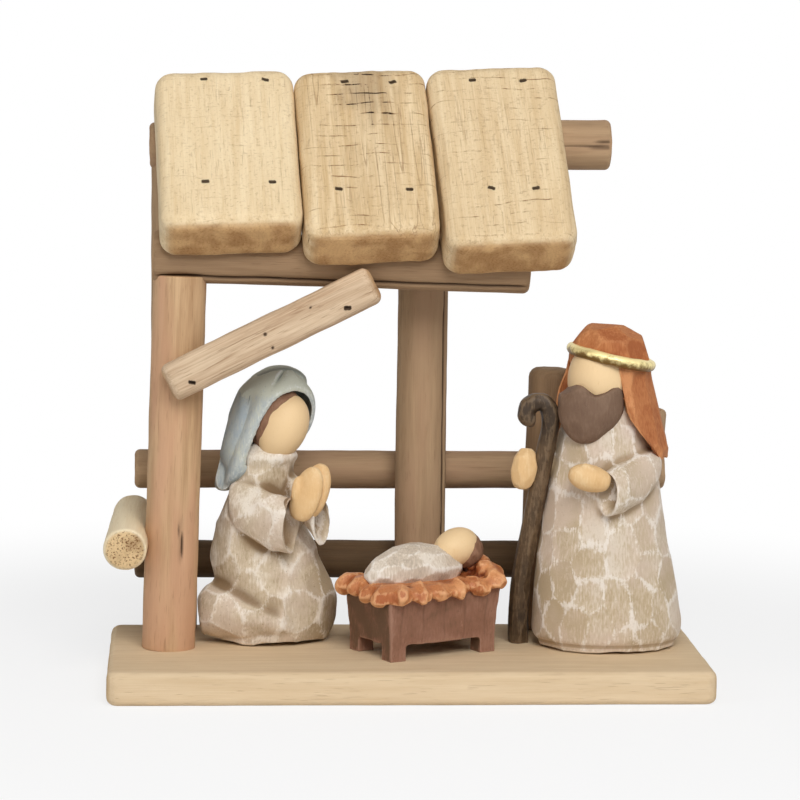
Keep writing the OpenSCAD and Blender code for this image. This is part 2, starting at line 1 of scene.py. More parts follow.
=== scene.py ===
# %% [markdown]
# # A rustic nativity ornament
# The real one is a small stable of peeled sticks and thick sawn boards, nailed to a base
# board, with painted cast figures glued down in it. The CAD model gives every piece its place
# and size. This lesson dresses it: rough wood, gouged resin and dry-brushed paint.

# %% Load the CAD frame
import json
import math
import random
from contextlib import contextmanager

import bmesh
import bpy
import numpy as np
from mathutils import Matrix, Vector, kdtree, noise

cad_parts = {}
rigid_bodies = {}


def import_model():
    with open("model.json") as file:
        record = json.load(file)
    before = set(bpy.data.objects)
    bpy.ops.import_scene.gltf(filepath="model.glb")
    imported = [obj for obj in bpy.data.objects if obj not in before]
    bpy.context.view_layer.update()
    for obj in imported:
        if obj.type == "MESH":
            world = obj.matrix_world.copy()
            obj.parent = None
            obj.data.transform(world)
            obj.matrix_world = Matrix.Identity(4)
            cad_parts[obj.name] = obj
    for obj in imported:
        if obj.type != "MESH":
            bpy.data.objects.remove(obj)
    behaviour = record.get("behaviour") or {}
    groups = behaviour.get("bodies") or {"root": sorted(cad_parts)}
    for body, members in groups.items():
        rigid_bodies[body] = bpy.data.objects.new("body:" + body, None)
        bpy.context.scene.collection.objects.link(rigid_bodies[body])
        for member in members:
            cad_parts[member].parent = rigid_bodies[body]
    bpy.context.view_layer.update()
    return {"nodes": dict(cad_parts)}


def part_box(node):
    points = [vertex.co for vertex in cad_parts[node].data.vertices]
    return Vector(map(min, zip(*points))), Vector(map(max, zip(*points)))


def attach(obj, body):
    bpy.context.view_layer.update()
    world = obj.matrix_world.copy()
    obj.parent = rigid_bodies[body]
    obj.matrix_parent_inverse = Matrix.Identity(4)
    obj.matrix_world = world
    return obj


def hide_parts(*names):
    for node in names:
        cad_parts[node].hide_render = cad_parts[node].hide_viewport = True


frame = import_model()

MM = 0.001
print("CAD nodes:", len(frame["nodes"]))

# %% [markdown]
# Blender's operators act on whatever is selected, so every step starts from one piece alone.
# These helpers select a piece, open it in edit mode, pick parts of it by a test on their place
# or direction, and apply a modifier at once. All the modelling below goes through them.

# %% Helpers for working by hand
def only(*pieces):
    """Select these pieces alone; the first one is active."""
    bpy.ops.object.select_all(action="DESELECT")
    for piece in pieces:
        piece.select_set(True)
    bpy.context.view_layer.objects.active = pieces[0]
    return pieces[0]


def new_piece(name):
    """Name the piece that was just made."""
    piece = bpy.context.object
    piece.name = piece.data.name = name
    return piece


def add(name, primitive, **settings):
    """Add a primitive with nothing else selected, and name it."""
    bpy.ops.object.select_all(action="DESELECT")
    primitive(**settings)
    return new_piece(name)


@contextmanager
def editing(piece):
    """Open a piece in edit mode with everything selected."""
    only(piece)
    bpy.ops.object.mode_set(mode="EDIT")
    bpy.ops.mesh.select_all(action="SELECT")
    yield
    bpy.ops.object.mode_set(mode="OBJECT")


def pick(piece, kind, test):
    """In edit mode, select only the faces or edges that pass a test."""
    bpy.ops.mesh.select_mode(type={"faces": "FACE", "edges": "EDGE"}[kind])
    bpy.ops.mesh.select_all(action="DESELECT")
    shape = bmesh.from_edit_mesh(piece.data)
    for element in getattr(shape, kind):
        if test(element):
            element.select_set(True)
    shape.select_flush_mode()
    bmesh.update_edit_mesh(piece.data)


def modify(piece, kind, **settings):
    """Add a modifier and apply it at once."""
    only(piece)
    modifier = piece.modifiers.new(kind.title(), kind)
    for key, value in settings.items():
        setattr(modifier, key, value)
    bpy.ops.object.modifier_apply(modifier=modifier.name)


def settle(piece, place=Matrix.Identity(4)):
    """Put a piece in place and apply it, so that its object sits at the origin."""
    bpy.context.view_layer.update()
    piece.matrix_world = place @ piece.matrix_world
    only(piece)
    bpy.ops.object.transform_apply(location=True, rotation=True, scale=True)


def moved(place):
    """A move, given in millimetres."""
    return Matrix.Translation(Vector(place) * MM)


def turned(degrees, axis):
    """A turn about one axis through the origin."""
    return Matrix.Rotation(math.radians(degrees), 4, axis)


def join(name, *pieces):
    """Make one piece of several."""
    only(*pieces)
    bpy.ops.object.join()
    return new_piece(name)


def cut(piece, *cutters):
    """Take cutters away from a piece."""
    for cutter in cutters:
        modify(piece, "BOOLEAN", object=cutter, operation="DIFFERENCE", solver="EXACT")
        bpy.data.objects.remove(cutter)


# %% [markdown]
# Weathering and carving move each vertex a little by a formula, so the vertices are read and
# written as one array. A number kept on every vertex is an attribute, which a paint can read:
# where a crack runs, which way the grain goes, or how far a spot stands out from its
# surroundings.

# %% Helpers for reading and writing vertices
def points_of(piece):
    """Vertex places, in millimetres."""
    flat = np.empty(len(piece.data.vertices) * 3)
    piece.data.vertices.foreach_get("co", flat)
    return flat.reshape(-1, 3) / MM


def normals_of(piece):
    flat = np.empty(len(piece.data.vertices) * 3)
    piece.data.vertex_normals.foreach_get("vector", flat)
    return flat.reshape(-1, 3)


def move_to(piece, points):
    piece.data.vertices.foreach_set("co", (points * MM).ravel())
    piece.data.update()


def keep(piece, name, values):
    """Store one number or one vector for each vertex."""
    values = np.asarray(values, dtype=np.float32)
    kind, slot = ("FLOAT", "value") if values.ndim == 1 else ("FLOAT_VECTOR", "vector")
    attribute = piece.data.attributes.get(name) or piece.data.attributes.new(name, kind, "POINT")
    attribute.data.foreach_set(slot, values.ravel())


def kept(piece, name):
    """Read back one number for each vertex."""
    values = np.empty(len(piece.data.vertices), dtype=np.float32)
    piece.data.attributes[name].data.foreach_get("value", values)
    return values


def lumps(points, seed=0):
    """Smooth noise from -1 to 1 at each point."""
    return np.array([noise.noise((x + 17.3 * seed, y, z)) for x, y, z in points.tolist()])


def fade(values, low, high):
    """0 below low, 1 above high and a smooth step between."""
    share = np.clip((values - low) / (high - low), 0, 1)
    return share * share * (3 - 2 * share)


print("base board:", np.ptp(points_of(frame["nodes"]["base_board"]), axis=0).round(1), "mm")

# %% [markdown]
# A paint is a small network of nodes. Wiring every node by hand is slow to read, so the class
# below wraps one socket: sums are written as Python, and the Math nodes appear by themselves. All
# other nodes are added by one method, by their type, their settings and what goes into their
# sockets.

# %% A small language for paints
class Value:
    """One output socket, which adds and multiplies like a number."""

    def __init__(self, nodes, socket):
        self.nodes, self.socket = nodes, socket

    def math(self, operation, first, second=0.0):
        return self.nodes.node("ShaderNodeMath", {"operation": operation}, {0: first, 1: second})

    def __add__(self, other): return self.math("ADD", self, other)
    def __radd__(self, other): return self.math("ADD", other, self)
    def __sub__(self, other): return self.math("SUBTRACT", self, other)
    def __rsub__(self, other): return self.math("SUBTRACT", other, self)
    def __mul__(self, other): return self.math("MULTIPLY", self, other)
    def __rmul__(self, other): return self.math("MULTIPLY", other, self)
    def sine(self): return self.math("SINE", self)
    def wrap(self): return self.math("FRACT", self)

    def near(self, level, width):
        """1 at a level and 0 a width away from it: a thin contour line."""
        return 1 - self.math("ABSOLUTE", self - level).step(0.0, width)

    def step(self, low, high):
        """0 below low, 1 above high, smooth between."""
        return self.nodes.node(
            "ShaderNodeMapRange",
            {"interpolation_type": "SMOOTHSTEP"},
            {"Value": self, "From Min": low, "From Max": high},
        )


class Nodes:
    """A node tree that is built up step by step."""

    def __init__(self, tree):
        self.tree = tree

    def node(self, kind, settings={}, sockets={}, output=0):
        """Add a node: settings first, then the values or links of its sockets."""
        made = self.tree.nodes.new(kind)
        for key, value in settings.items():
            setattr(made, key, value)
        for key, value in sockets.items():
            self.put(made.inputs[key], value)
        return Value(self, made.outputs[output])

    def put(self, socket, value):
        if isinstance(value, Value):
            self.tree.links.new(value.socket, socket)
        else:
            socket.default_value = value


def tint(red, green, blue):
    """A colour as a paint chart gives it, 0 to 255, made linear for the shader."""
    linear = [c / 12.92 if c <= 0.04045 else ((c + 0.055) / 1.055) ** 2.4
              for c in (red / 255, green / 255, blue / 255)]
    return (*linear, 1.0)


class Paint(Nodes):
    """A material, and the nodes that every paint needs."""

    def __init__(self, name):
        self.material = bpy.data.materials.new(name)
        self.material.use_nodes = True
        super().__init__(self.material.node_tree)
        self.shader = self.tree.nodes["Principled BSDF"]

    def kept(self, name, output="Fac"):
        """An attribute that was stored on the vertices."""
        return self.node("ShaderNodeAttribute", {"attribute_name": name}, output=output)

    def place(self):
        """Where a spot is on the object, in millimetres."""
        spot = self.node("ShaderNodeTexCoord", output="Object")
        return self.stretch(spot, (1 / MM,) * 3)

    def stretch(self, vector, scale):
        return self.node("ShaderNodeVectorMath", {"operation": "MULTIPLY"}, {0: vector, 1: scale})

    def cloud(self, vector, scale, detail=2.0, rough=0.5):
        """Soft noise, about 0.5 on average."""
        return self.node(
            "ShaderNodeTexNoise", {},
            {"Vector": vector, "Scale": scale, "Detail": detail, "Roughness": rough},
        )

    def mix(self, share, first, second):
        """A colour between two; each is a paint chart's colour or one mixed before."""
        first, second = (c if isinstance(c, Value) else tint(*c) for c in (first, second))
        return self.node(
            "ShaderNodeMix", {"data_type": "RGBA"}, {0: share, 6: first, 7: second}, output=2
        )

    def finish(self, colour, roughness, bump=None, depth=0.0, gloss=0.3, metal=0.0):
        """Connect the shader; depth is the height of the bump in millimetres."""
        self.put(self.shader.inputs["Base Color"], colour)
        self.put(self.shader.inputs["Roughness"], roughness)
        self.put(self.shader.inputs["Metallic"], metal)
        self.shader.inputs["Specular IOR Level"].default_value = gloss
        if bump is not None:
            relief = self.node("ShaderNodeBump", {}, {"Height": bump, "Distance": depth * MM})
            self.put(self.shader.inputs["Normal"], relief)
        return self.material


print("a chart's mid grey in linear light:", round(tint(128, 128, 128)[0], 3))


# %% [markdown]
# Wood has a direction: fibres run along a stick or a board, and its ends show end grain. Every
# wooden piece gets its own grain coordinates as an attribute: along, across and through it, in
# millimetres. The paint draws its noise out along the first of them, so that one recipe suits
# a leaning post and a sloping roof board alike. The CAD pieces tell how each of them lies.

# %% How a CAD piece lies
FRONT, LEFT = (0.0, -1.0, 0.0), (-1.0, 0.0, 0.0)
ROUND_ENOUGH = 0.8
SAME_WAY = 0.9


def lie_of(node):
    """Middle, axes (longest first, a stick's second to the front) and size of a node, in mm."""
    points = points_of(frame["nodes"][node])
    middle = (points.min(0) + points.max(0)) / 2
    triangles = np.array([face.vertices[:] for face in frame["nodes"][node].data.polygons])
    corners = points[triangles] - middle
    sides = corners[:, 1] - corners[:, 0], corners[:, 2] - corners[:, 0]
    area = np.linalg.norm(np.cross(*sides), axis=1)
    spots = corners.mean(1)
    spread = (spots * area[:, None]).T @ spots
    axes = np.linalg.eigh(spread)[1][:, ::-1].T
    axes = np.array([axis * np.sign(axis[np.abs(axis).argmax()]) for axis in axes])
    reach = np.ptp((points - middle) @ axes.T, axis=0)
    if reach[2] > ROUND_ENOUGH * reach[1]:
        front = np.array(FRONT if abs(axes[0] @ FRONT) < SAME_WAY else LEFT)
        axes[1] = front - axes[0] * (front @ axes[0])
        axes[1] /= np.linalg.norm(axes[1])
    axes[2] = np.cross(axes[0], axes[1])
    reach = (points - middle) @ axes.T
    middle = middle + (reach.min(0) + reach.max(0)) / 2 @ axes
    return middle, axes, np.ptp(reach, axis=0)


def place_of(middle, axes):
    """The move that lays local X, Y and Z along a piece's three axes."""
    turn = Matrix(axes.T.tolist()).to_4x4()
    return Matrix.Translation(Vector(middle * MM)) @ turn


for node in ("roof_board_left", "front_beam", "front_left_post"):
    middle, axes, size = lie_of(node)
    print(node, "size", size.round(1), "along", axes[0].round(2))


# %% [markdown]
# The paint of bare wood: broad streaks and fine fibres along the grain, a darker end grain with
# growth rings, and almost black in cracks. A picture of wood could be laid over it, but noise
# that is drawn out along the grain fits every piece without a seam. Saw rows are thin lines
# across the grain, broken up by more noise.

# %% The wood paint
MARK, STAIN, CRACK = (140, 100, 60), (134, 108, 80), (52, 32, 18)
SAW_STEP = 3.8
CONTRAST = 2.4


def wood_paint(name, light, dark, end, streak=0.45, fibre=0.3, saw=0.0, split=0.0, pit=0.25,
               blush=None):
    """Bare wood: two tones of side grain, two of end grain, and how strong each mark is."""
    paint = Paint(name)
    grain, stain = paint.kept("grain", "Vector"), paint.kept("stain")

    def drawn(along, across, detail, rough=0.5):
        """Noise that is drawn out along the grain."""
        return paint.cloud(paint.stretch(grain, (along, across, across)), 1.0, detail, rough)

    broad, fine = drawn(0.03, 0.35, 3.0), drawn(0.07, 2.6, 4.0, 0.65)
    pores = drawn(0.16, 3.4, 1.0).step(0.66, 0.76)
    worn = drawn(0.05, 0.07, 2.0)
    tone = 0.5 + (broad - 0.5) * (CONTRAST * streak) + (fine - 0.5) * (CONTRAST * fibre)
    colour = paint.mix(tone.step(0.05, 0.95), dark, light)
    if blush:
        colour = paint.mix(drawn(0.02, 0.12, 2.0).step(0.42, 0.68) * 0.75, colour, blush)
    marks, relief = pores * (0.8 * fibre), fine * 0.6 - pores * 0.5
    if saw:
        along = paint.node("ShaderNodeSeparateXYZ", {}, {0: grain})
        rows = (along * (1 / SAW_STEP) + drawn(0.09, 0.05, 3.0) * 1.3).wrap().near(0.5, 0.075)
        broken = drawn(0.34, 0.16, 4.0, 0.7).step(0.46, 0.62)
        sawn = rows * broken * (0.3 + worn.step(0.42, 0.6) * 0.6 + stain * 2.4) * saw
        rough = drawn(1.6, 0.8, 3.0, 0.7).step(0.52, 0.75)
        marks, relief = marks + sawn + rough * 0.3, relief - sawn - rough * 0.6
    if split:
        splits = drawn(0.012, 0.28, 2.0).near(0.5, 0.02) * (1 - worn.step(0.4, 0.56)) * split
        marks, relief = marks + splits, relief - splits
    colour = paint.mix(stain * 0.45, colour, STAIN)
    colour = paint.mix(marks, colour, MARK)
    colour = paint.mix((marks * stain).step(0.1, 0.6), colour, CRACK)
    rings = (paint.kept("ring") * 5.2 + paint.cloud(grain, 0.25, 2.0) * 5.0).sine() * 0.5 + 0.5
    blots = paint.cloud(grain, 0.14, 3.0).step(0.35, 0.65)
    pits = paint.cloud(grain, 1.6, 2.0, 0.6).step(0.52, 0.66)
    end_tone = paint.mix(blots * 0.6 + rings * 0.08 + pits * pit, *end)
    colour = paint.mix(paint.kept("end").step(0.6, 1.0), colour, end_tone)
    colour = paint.mix(paint.kept("crack").step(0.15, 0.7) * 0.9, colour, CRACK)
    return paint.finish(colour, 0.78, relief, 0.16, gloss=0.25)


# %% [markdown]
# Every stick and board of the stable has its own tone: the base is planed and pale, the roof
# boards are sawn, and the beam, a fence post and the lower rail are darker, partly in their own
# grey and brown and partly as painted shade. The side rail is paler, partly as painted light. One
# table keeps them side by side, which makes them easy to compare and to change.

# %% The woods of the stable
BOARD_END = ((208, 168, 118), (150, 106, 62))
STICK_END = ((186, 150, 112), (150, 114, 78))
# Name: light and dark side grain, pale and dark end grain, and the strength of its marks.
WOODS = {
    "planed base board": (
        (226, 203, 169), (209, 182, 145), ((212, 184, 144), (190, 158, 114)),
        dict(streak=0.35, fibre=0.25)),
    "clean sawn board": (
        (240, 220, 183), (219, 192, 149), BOARD_END,
        dict(streak=0.4, fibre=0.28, saw=0.25)),
    "split sawn board": (
        (234, 211, 172), (200, 168, 122), BOARD_END,
        dict(streak=0.6, saw=1.0, split=0.5)),
    "combed sawn board": (
        (232, 210, 172), (209, 180, 137), BOARD_END,
        dict(fibre=0.35, saw=1.1, split=0.2)),
    "pink peeled stick": (
        (203, 169, 130), (178, 142, 105), STICK_END,
        dict(streak=0.95, fibre=0.45, blush=(202, 156, 124))),
    "tan peeled stick": ((186, 156, 122), (158, 128, 97), STICK_END, dict(blush=(176, 142, 112))),
    # Partly painted shade: the beam's grey tone is darkened for the shade under the roof.
    "grey peeled stick": ((168, 138, 106), (140, 112, 84), STICK_END, {}),
    # Partly painted shade: the inner fence post is darkened for the shade behind the standing
    # figure.
    "dark peeled stick": ((150, 122, 92), (122, 96, 70), ((152, 124, 94), (134, 108, 80)), {}),
    # Painted shade: a darker copy of peeled stick for the lower rail, which lies in shade.
    "smoked peeled stick": ((104, 81, 56), (82, 62, 41), ((120, 94, 68), (96, 72, 48)), {}),
    "split batten": (
        (216, 192, 162), (180, 150, 120), ((200, 166, 124), (160, 122, 86)),
        dict(streak=0.5, fibre=0.6, split=0.6)),
    # Partly painted light: the side rail is painted paler for its side that the lamps reach less.
    "pale side rail": (
        (246, 232, 200), (230, 208, 170), ((222, 192, 146), (128, 90, 54)),
        dict(streak=0.35, pit=0.9)),
}
woods = {name: wood_paint(name, *tones, **marks) for name, (*tones, marks) in WOODS.items()}
print("wood paints:", len(woods))


# %% [markdown]
# Weathering gives every wooden piece its grain coordinates and takes the machine look off it:
# slow waves along the grain, small dents across it, cracks, pits and stains. These could be left
# to the paint, but real dents also catch the light at the edges. A crack is drawn as a wandering
# line along the piece; the vertices near it sink, and the paint darkens there.

# %% Weathering
CRACK_TAPER = 6
PIT_DEPTH = 0.6
PITH = (-1.3, 0.8)
GRAIN_SHIFT = 31.7


def crack_mark(points, seed, start, stop, angle, width):
    """1 on a crack that wanders along a side of the piece, 0 away from it."""
    along, across, through = points.T
    line = np.column_stack([along * 0.09, along * 0, along * 0])
    wander = angle + 0.05 * lumps(line, seed + 9)
    gap = np.abs((np.arctan2(through, across) - wander + np.pi) % (2 * np.pi) - np.pi)
    gap = gap * np.hypot(across, through)
    run = fade(along, start, start + CRACK_TAPER) * (1 - fade(along, stop - CRACK_TAPER, stop))
    return np.exp(-((gap / width) ** 2)) * run


def stain_mark(points, seed, stains):
    """How dark each spot is from old stains with ragged edges."""
    along, across, _ = points.T
    stained = np.zeros(len(points))
    for middle, aside, reach, width, strength in stains:
        ragged = 0.5 * lumps(points * (0.2, 0.5, 0.5), seed + 3)
        far = np.hypot((along - middle) / reach, (across - aside) / width) + ragged
        stained = np.maximum(stained, strength * (1 - fade(far, 0.2, 1.1)))
    return stained


def weather(piece, seed, wave=0.3, dent=0.12, cracks=(), stains=(), pits=()):
    """Rough up a piece that still lies along local X, and store what its paint reads."""
    points, normals = points_of(piece), normals_of(piece)
    along, across, through = points.T
    ends = np.abs(normals[:, 0])
    lift = wave * lumps(points * (0.02, 0.11, 0.11), seed)
    lift = lift + dent * lumps(points * (0.12, 0.35, 0.35), seed + 5)
    depth = np.zeros(len(points))
    for *line, deep in cracks:
        mark = crack_mark(points, seed, *line) * (1 - fade(ends, 0.6, 0.9))
        depth, lift = np.maximum(depth, mark * min(1, deep)), lift - deep * mark
    for middle, aside, radius in pits:
        far = np.hypot(along - middle, across - aside) / radius
        mark = np.exp(-(far ** 2)) * (through > 0)
        depth, lift = np.maximum(depth, mark), lift - PIT_DEPTH * mark
    move_to(piece, points + normals * lift[:, None])
    keep(piece, "grain", points + GRAIN_SHIFT * seed)
    keep(piece, "ring", np.hypot(across - PITH[0], through - PITH[1]))
    keep(piece, "end", ends)
    keep(piece, "crack", depth)
    keep(piece, "stain", stain_mark(points, seed, stains))


def dress(piece, material, node):
    """Paint a finished piece, hide the CAD node that it stands for, and let it ride along."""
    piece.data.materials.clear()
    piece.data.materials.append(material)
    only(piece)
    bpy.ops.object.shade_smooth()
    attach(piece, "root")
    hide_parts(node)
    print(piece.name, "faces", len(piece.data.polygons))


# %% [markdown]
# A peeled stick starts as a cone, because a branch tapers. Its ends are eased with a bevel, its
# long edges are subdivided into rings, and the ends get a few inset rings. Then it is weathered
# and laid where the CAD stick lies. A voxel remesh would do as well, but rings keep cracks clean.

# %% Peeled sticks
STICK_SIDES = 72
RING_STEP = 1.1
END_RING_STEP = 1.2
NEAR_END = 0.3
OUTERMOST = 90


def radius_at_end(node, end):
    """Radius of a CAD stick close to its first (-1) or last (1) end, in millimetres."""
    middle, axes, size = lie_of(node)
    reach = (points_of(frame["nodes"][node]) - middle) @ axes.T
    near = reach[:, 0] * end > size[0] * NEAR_END
    return np.percentile(np.hypot(reach[near, 1], reach[near, 2]), OUTERMOST)


def peel_stick(node, seed, ease=1.6, **wear):
    """A round stick with eased ends, rings along it and rings on its ends."""
    middle, axes, size = lie_of(node)
    piece = add(
        node + "_peeled", bpy.ops.mesh.primitive_cone_add, vertices=STICK_SIDES,
        radius1=radius_at_end(node, -1) * MM, radius2=radius_at_end(node, 1) * MM,
        depth=size[0] * MM, rotation=(0, math.pi / 2, 0),
    )
    settle(piece)
    tip = size[0] / 2 * MM - 1e-6
    with editing(piece):
        pick(piece, "edges", lambda edge: abs(edge.verts[0].co.x + edge.verts[1].co.x) > 2 * tip)
        bpy.ops.mesh.bevel(offset=ease * MM, segments=4, profile=0.5)
        pick(piece, "edges", lambda edge: abs(edge.verts[0].co.x - edge.verts[1].co.x) > tip)
        bpy.ops.mesh.subdivide(number_cuts=int(size[0] / RING_STEP))
        pick(piece, "faces", lambda face: len(face.verts) > 4)
        for step in range(int((size[2] / 2 - ease) / END_RING_STEP)):
            bpy.ops.mesh.inset(thickness=END_RING_STEP * MM)
        bpy.ops.mesh.poke()
    weather(piece, seed, **wear)
    settle(piece, place_of(middle, axes))
    return piece


# Post, beam or rail: its wood and its wear; a crack is start, stop, angle, width and depth.
STICKS = {
    "front_left_post": ("pink peeled stick", dict(seed=1, ease=0.5, cracks=[
        (-31, -17, 0.42, 0.45, 0.8), (-25, -14, 0.26, 0.45, 0.55), (-34, -11, 0.36, 1.7, 0.3)])),
    "rear_left_post": ("tan peeled stick", dict(seed=2, ease=0.5)),
    "rear_centre_post": ("tan peeled stick", dict(seed=3, ease=0.5, cracks=[
        (-68, 60, 1.02, 0.5, 1.0)])),
    "inner_fence_post": ("dark peeled stick", dict(seed=4, ease=3.0)),
    "end_fence_post": ("tan peeled stick", dict(seed=5)),
    "front_beam": ("grey peeled stick", dict(seed=6, cracks=[(-58, 58, 0.8, 0.6, 1.2)])),
    "rear_purlin": ("tan peeled stick", dict(seed=7, cracks=[
        (48, 76, -0.03, 0.4, 0.7), (62, 81, -0.18, 0.8, 0.6), (60, 80, 0.1, 0.7, 0.5)])),
    "upper_rail": ("tan peeled stick", dict(seed=8)),
    "lower_rail": ("smoked peeled stick", dict(seed=9)),
    "side_rail": ("pale side rail", dict(seed=10)),
}
for node, (wood, wear) in STICKS.items():
    dress(peel_stick(node, **wear), woods[wood], node)


# %% [markdown]
# The roof boards, the base and the brace are sawn blocks. A cube is scaled to the board's size, its
# edges are bevelled round, and a voxel remesh gives it an even skin of small faces. Subdividing
# would do too, but an even skin can be weathered and cut anywhere.

# %% Sawn boards
LEVEL = 1e-5


def block(name, size, middle=(0, 0, 0)):
    """A cube at its size and place."""
    piece = add(name, bpy.ops.mesh.primitive_cube_add, size=1)
    piece.scale, piece.location = Vector(size) * MM, Vector(middle) * MM
    settle(piece)
    return piece


def saw_board(node, corner, edge, voxel):
    """A board with round corners and eased edges, and the move to its place."""
    middle, axes, size = lie_of(node)
    piece = block(node + "_sawn", size)
    with editing(piece):
        pick(piece, "edges", lambda e: abs(e.verts[0].co.z - e.verts[1].co.z) > LEVEL)
        bpy.ops.mesh.bevel(offset=corner * MM, segments=6)
        pick(piece, "edges", lambda e: abs(e.verts[0].co.z - e.verts[1].co.z) < LEVEL)
        bpy.ops.mesh.bevel(offset=edge * MM, segments=5)
    modify(piece, "REMESH", mode="VOXEL", voxel_size=voxel * MM)
    return piece, place_of(middle, axes)


print("a roof board's size:", lie_of("roof_board_middle")[2].round(1), "mm")


# %% [markdown]
# Each brad was punched in below the surface, and left a short dark slot. The CAD brads say where:
# a copy of them is split into single brads, and the end far from each tip is its head. The slots
# could be typed in as a list, but read from the brads they always fit.

# %% Where the brads are
HEAD_THICK = 0.3


def brad_heads(node):
    """Middle of each brad's head and the way it points out, from the CAD brads."""
    before = set(bpy.data.objects)
    brads = bpy.data.objects.new("brads", frame["nodes"][node].data.copy())
    bpy.context.collection.objects.link(brads)
    with editing(brads):
        bpy.ops.mesh.remove_doubles(threshold=1e-6)
        bpy.ops.mesh.separate(type="LOOSE")
    heads = []
    for brad in sorted(set(bpy.data.objects) - before, key=lambda brad: brad.name):
        points = points_of(brad)
        tip = points[np.linalg.norm(points - points.mean(0), axis=1).argmax()]
        reach = np.linalg.norm(points - tip, axis=1)
        head = points[reach > reach.max() - HEAD_THICK].mean(0)
        heads.append((head, (head - tip) / np.linalg.norm(head - tip)))
        bpy.data.objects.remove(brad)
    return heads


roof_heads = brad_heads("roof_brads")
brace_heads = brad_heads("brace_brads")
print("brad heads:", len(roof_heads), len(brace_heads))


# %% [markdown]
# A slot is a small block set on the brad's head and turned to the brad's direction. The board
# is cut with it while it lies in place, because that is where the CAD brads are. A dark dimple in
# the paint alone would be quicker, but it would look flat from the side.

# %% Slots over the brads
SLOT = (1.8, 0.65, 7.0)
SLOT_SKEW = math.radians(24)
SLOT_DARK_AND_SHADE = 0.35
NEARBY = 2


def slot_turn(out, skew):
    """The turn that lays a slot's long side across the board, and its depth along the brad."""
    way = Vector(out)
    side = (Vector((1, 0, 0)) - way * way.x).normalized()
    return Matrix((side, way.cross(side), way)).transposed() @ Matrix.Rotation(skew, 3, "Z")


def punch(piece, heads, seed):
    """Cut a slot over each brad that goes through a piece; darken it and its rim, partly as painted
    shade.
    """
    lo, hi = points_of(piece).min(0) - NEARBY, points_of(piece).max(0) + NEARBY
    picker = random.Random(seed)
    slots = [(head, slot_turn(out, picker.uniform(-SLOT_SKEW, SLOT_SKEW)))
             for head, out in heads if (head > lo).all() and (head < hi).all()]
    for head, turn in slots:
        cutter = block("slot", SLOT)
        middle = Vector(head * MM) + turn.col[2] * (SLOT[2] / 2 * MM)
        settle(cutter, Matrix.Translation(middle) @ turn.to_4x4())
        cut(piece, cutter)
    points = points_of(piece)
    mark = kept(piece, "crack")
    # Partly painted shade: the inside of each slot and a thin rim round it take the crack colour.
    for head, turn in slots:
        aside = np.abs((points - head) @ np.array(turn))[:, :2] - np.array(SLOT[:2]) / 2
        mark = np.maximum(mark, 1 - fade(aside.max(1), 0, SLOT_DARK_AND_SHADE))
    keep(piece, "crack", mark)
    print(piece.name, "slots", len(slots))


# %% [markdown]
# Now the boards themselves. The base is planed and nearly flat. The roof boards are rough, and the
# middle one is stained and split near its upper end. The brace is a split batten with a few pits.
# They differ in numbers alone, so one loop saws, weathers, places, punches and paints them all.

# %% Base, roof and brace
# Board: its wood, finish, corner, edge, mesh step, brads and wear.
BOARDS = {
    "base_board": ("planed base board", "pale_board", (3.5, 2.2, 0.7), (),
                   dict(seed=11, wave=0.12, dent=0.06)),
    "roof_board_left": ("clean sawn board", "sawn_board", (5.4, 4.2, 0.5), roof_heads,
                        dict(seed=12, wave=0.45, dent=0.16)),
    "roof_board_middle": ("split sawn board", "sawn_board", (5.4, 4.2, 0.5), roof_heads,
                          dict(seed=13, wave=0.45, dent=0.16, cracks=[(14, 33, 1.5, 0.3, 0.5)],
                               stains=[(24, 1, 20, 12, 1), (-2, 0, 34, 12, 0.2)])),
    "roof_board_right": ("combed sawn board", "sawn_board", (5.4, 4.2, 0.5), roof_heads,
                         dict(seed=14, wave=0.45, dent=0.16)),
    "knee_brace": ("split batten", "split_batten", (2.2, 3.2, 0.4), brace_heads,
                   dict(seed=16, wave=0.45, dent=0.2,
                        pits=[(-1.5, 1, 0.6), (-1.3, -3.6, 0.5), (14, 2.2, 0.4)])),
}
for node, (wood, slot, sizes, heads, wear) in BOARDS.items():
    board, board_place = saw_board(node, *sizes)
    weather(board, **wear)
    settle(board, board_place)
    if heads:
        punch(board, heads, wear["seed"])
    dress(board, woods[wood], node)


# %% [markdown]
# The brads and screws stay as the CAD made them, since a nail is a nail. They only get a paint:
# dull steel, darker where it has rusted a little. One paint serves all of them.

# %% Brads and screws
FASTENERS = (
    "roof_brads", "log_brads", "brace_brads", "rail_brads", "side_rail_brads", "post_screws"
)


def dull_steel():
    paint = Paint("dull brad steel")
    rust = paint.cloud(paint.place(), 0.8, 3.0).step(0.45, 0.65)
    colour = paint.mix(rust, (54, 46, 40), (42, 29, 21))
    return paint.finish(colour, 0.45 + rust * 0.3, gloss=0.5, metal=0.8)


brad_steel = dull_steel()
for node in FASTENERS:
    frame["nodes"][node].data.materials.clear()
    frame["nodes"][node].data.materials.append(brad_steel)
print("painted steel:", len(FASTENERS))


# %% [markdown]
# The figures are cast resin, carved first by hand. Each body part is a loft: a ring is extruded
# upwards again and again, and every new ring is scaled about its own middle. Sculpting from a
# ball would work too, but rings are easy to measure and to change. They are listed as height,
# middle across, middle in depth, half width and half depth, in millimetres.

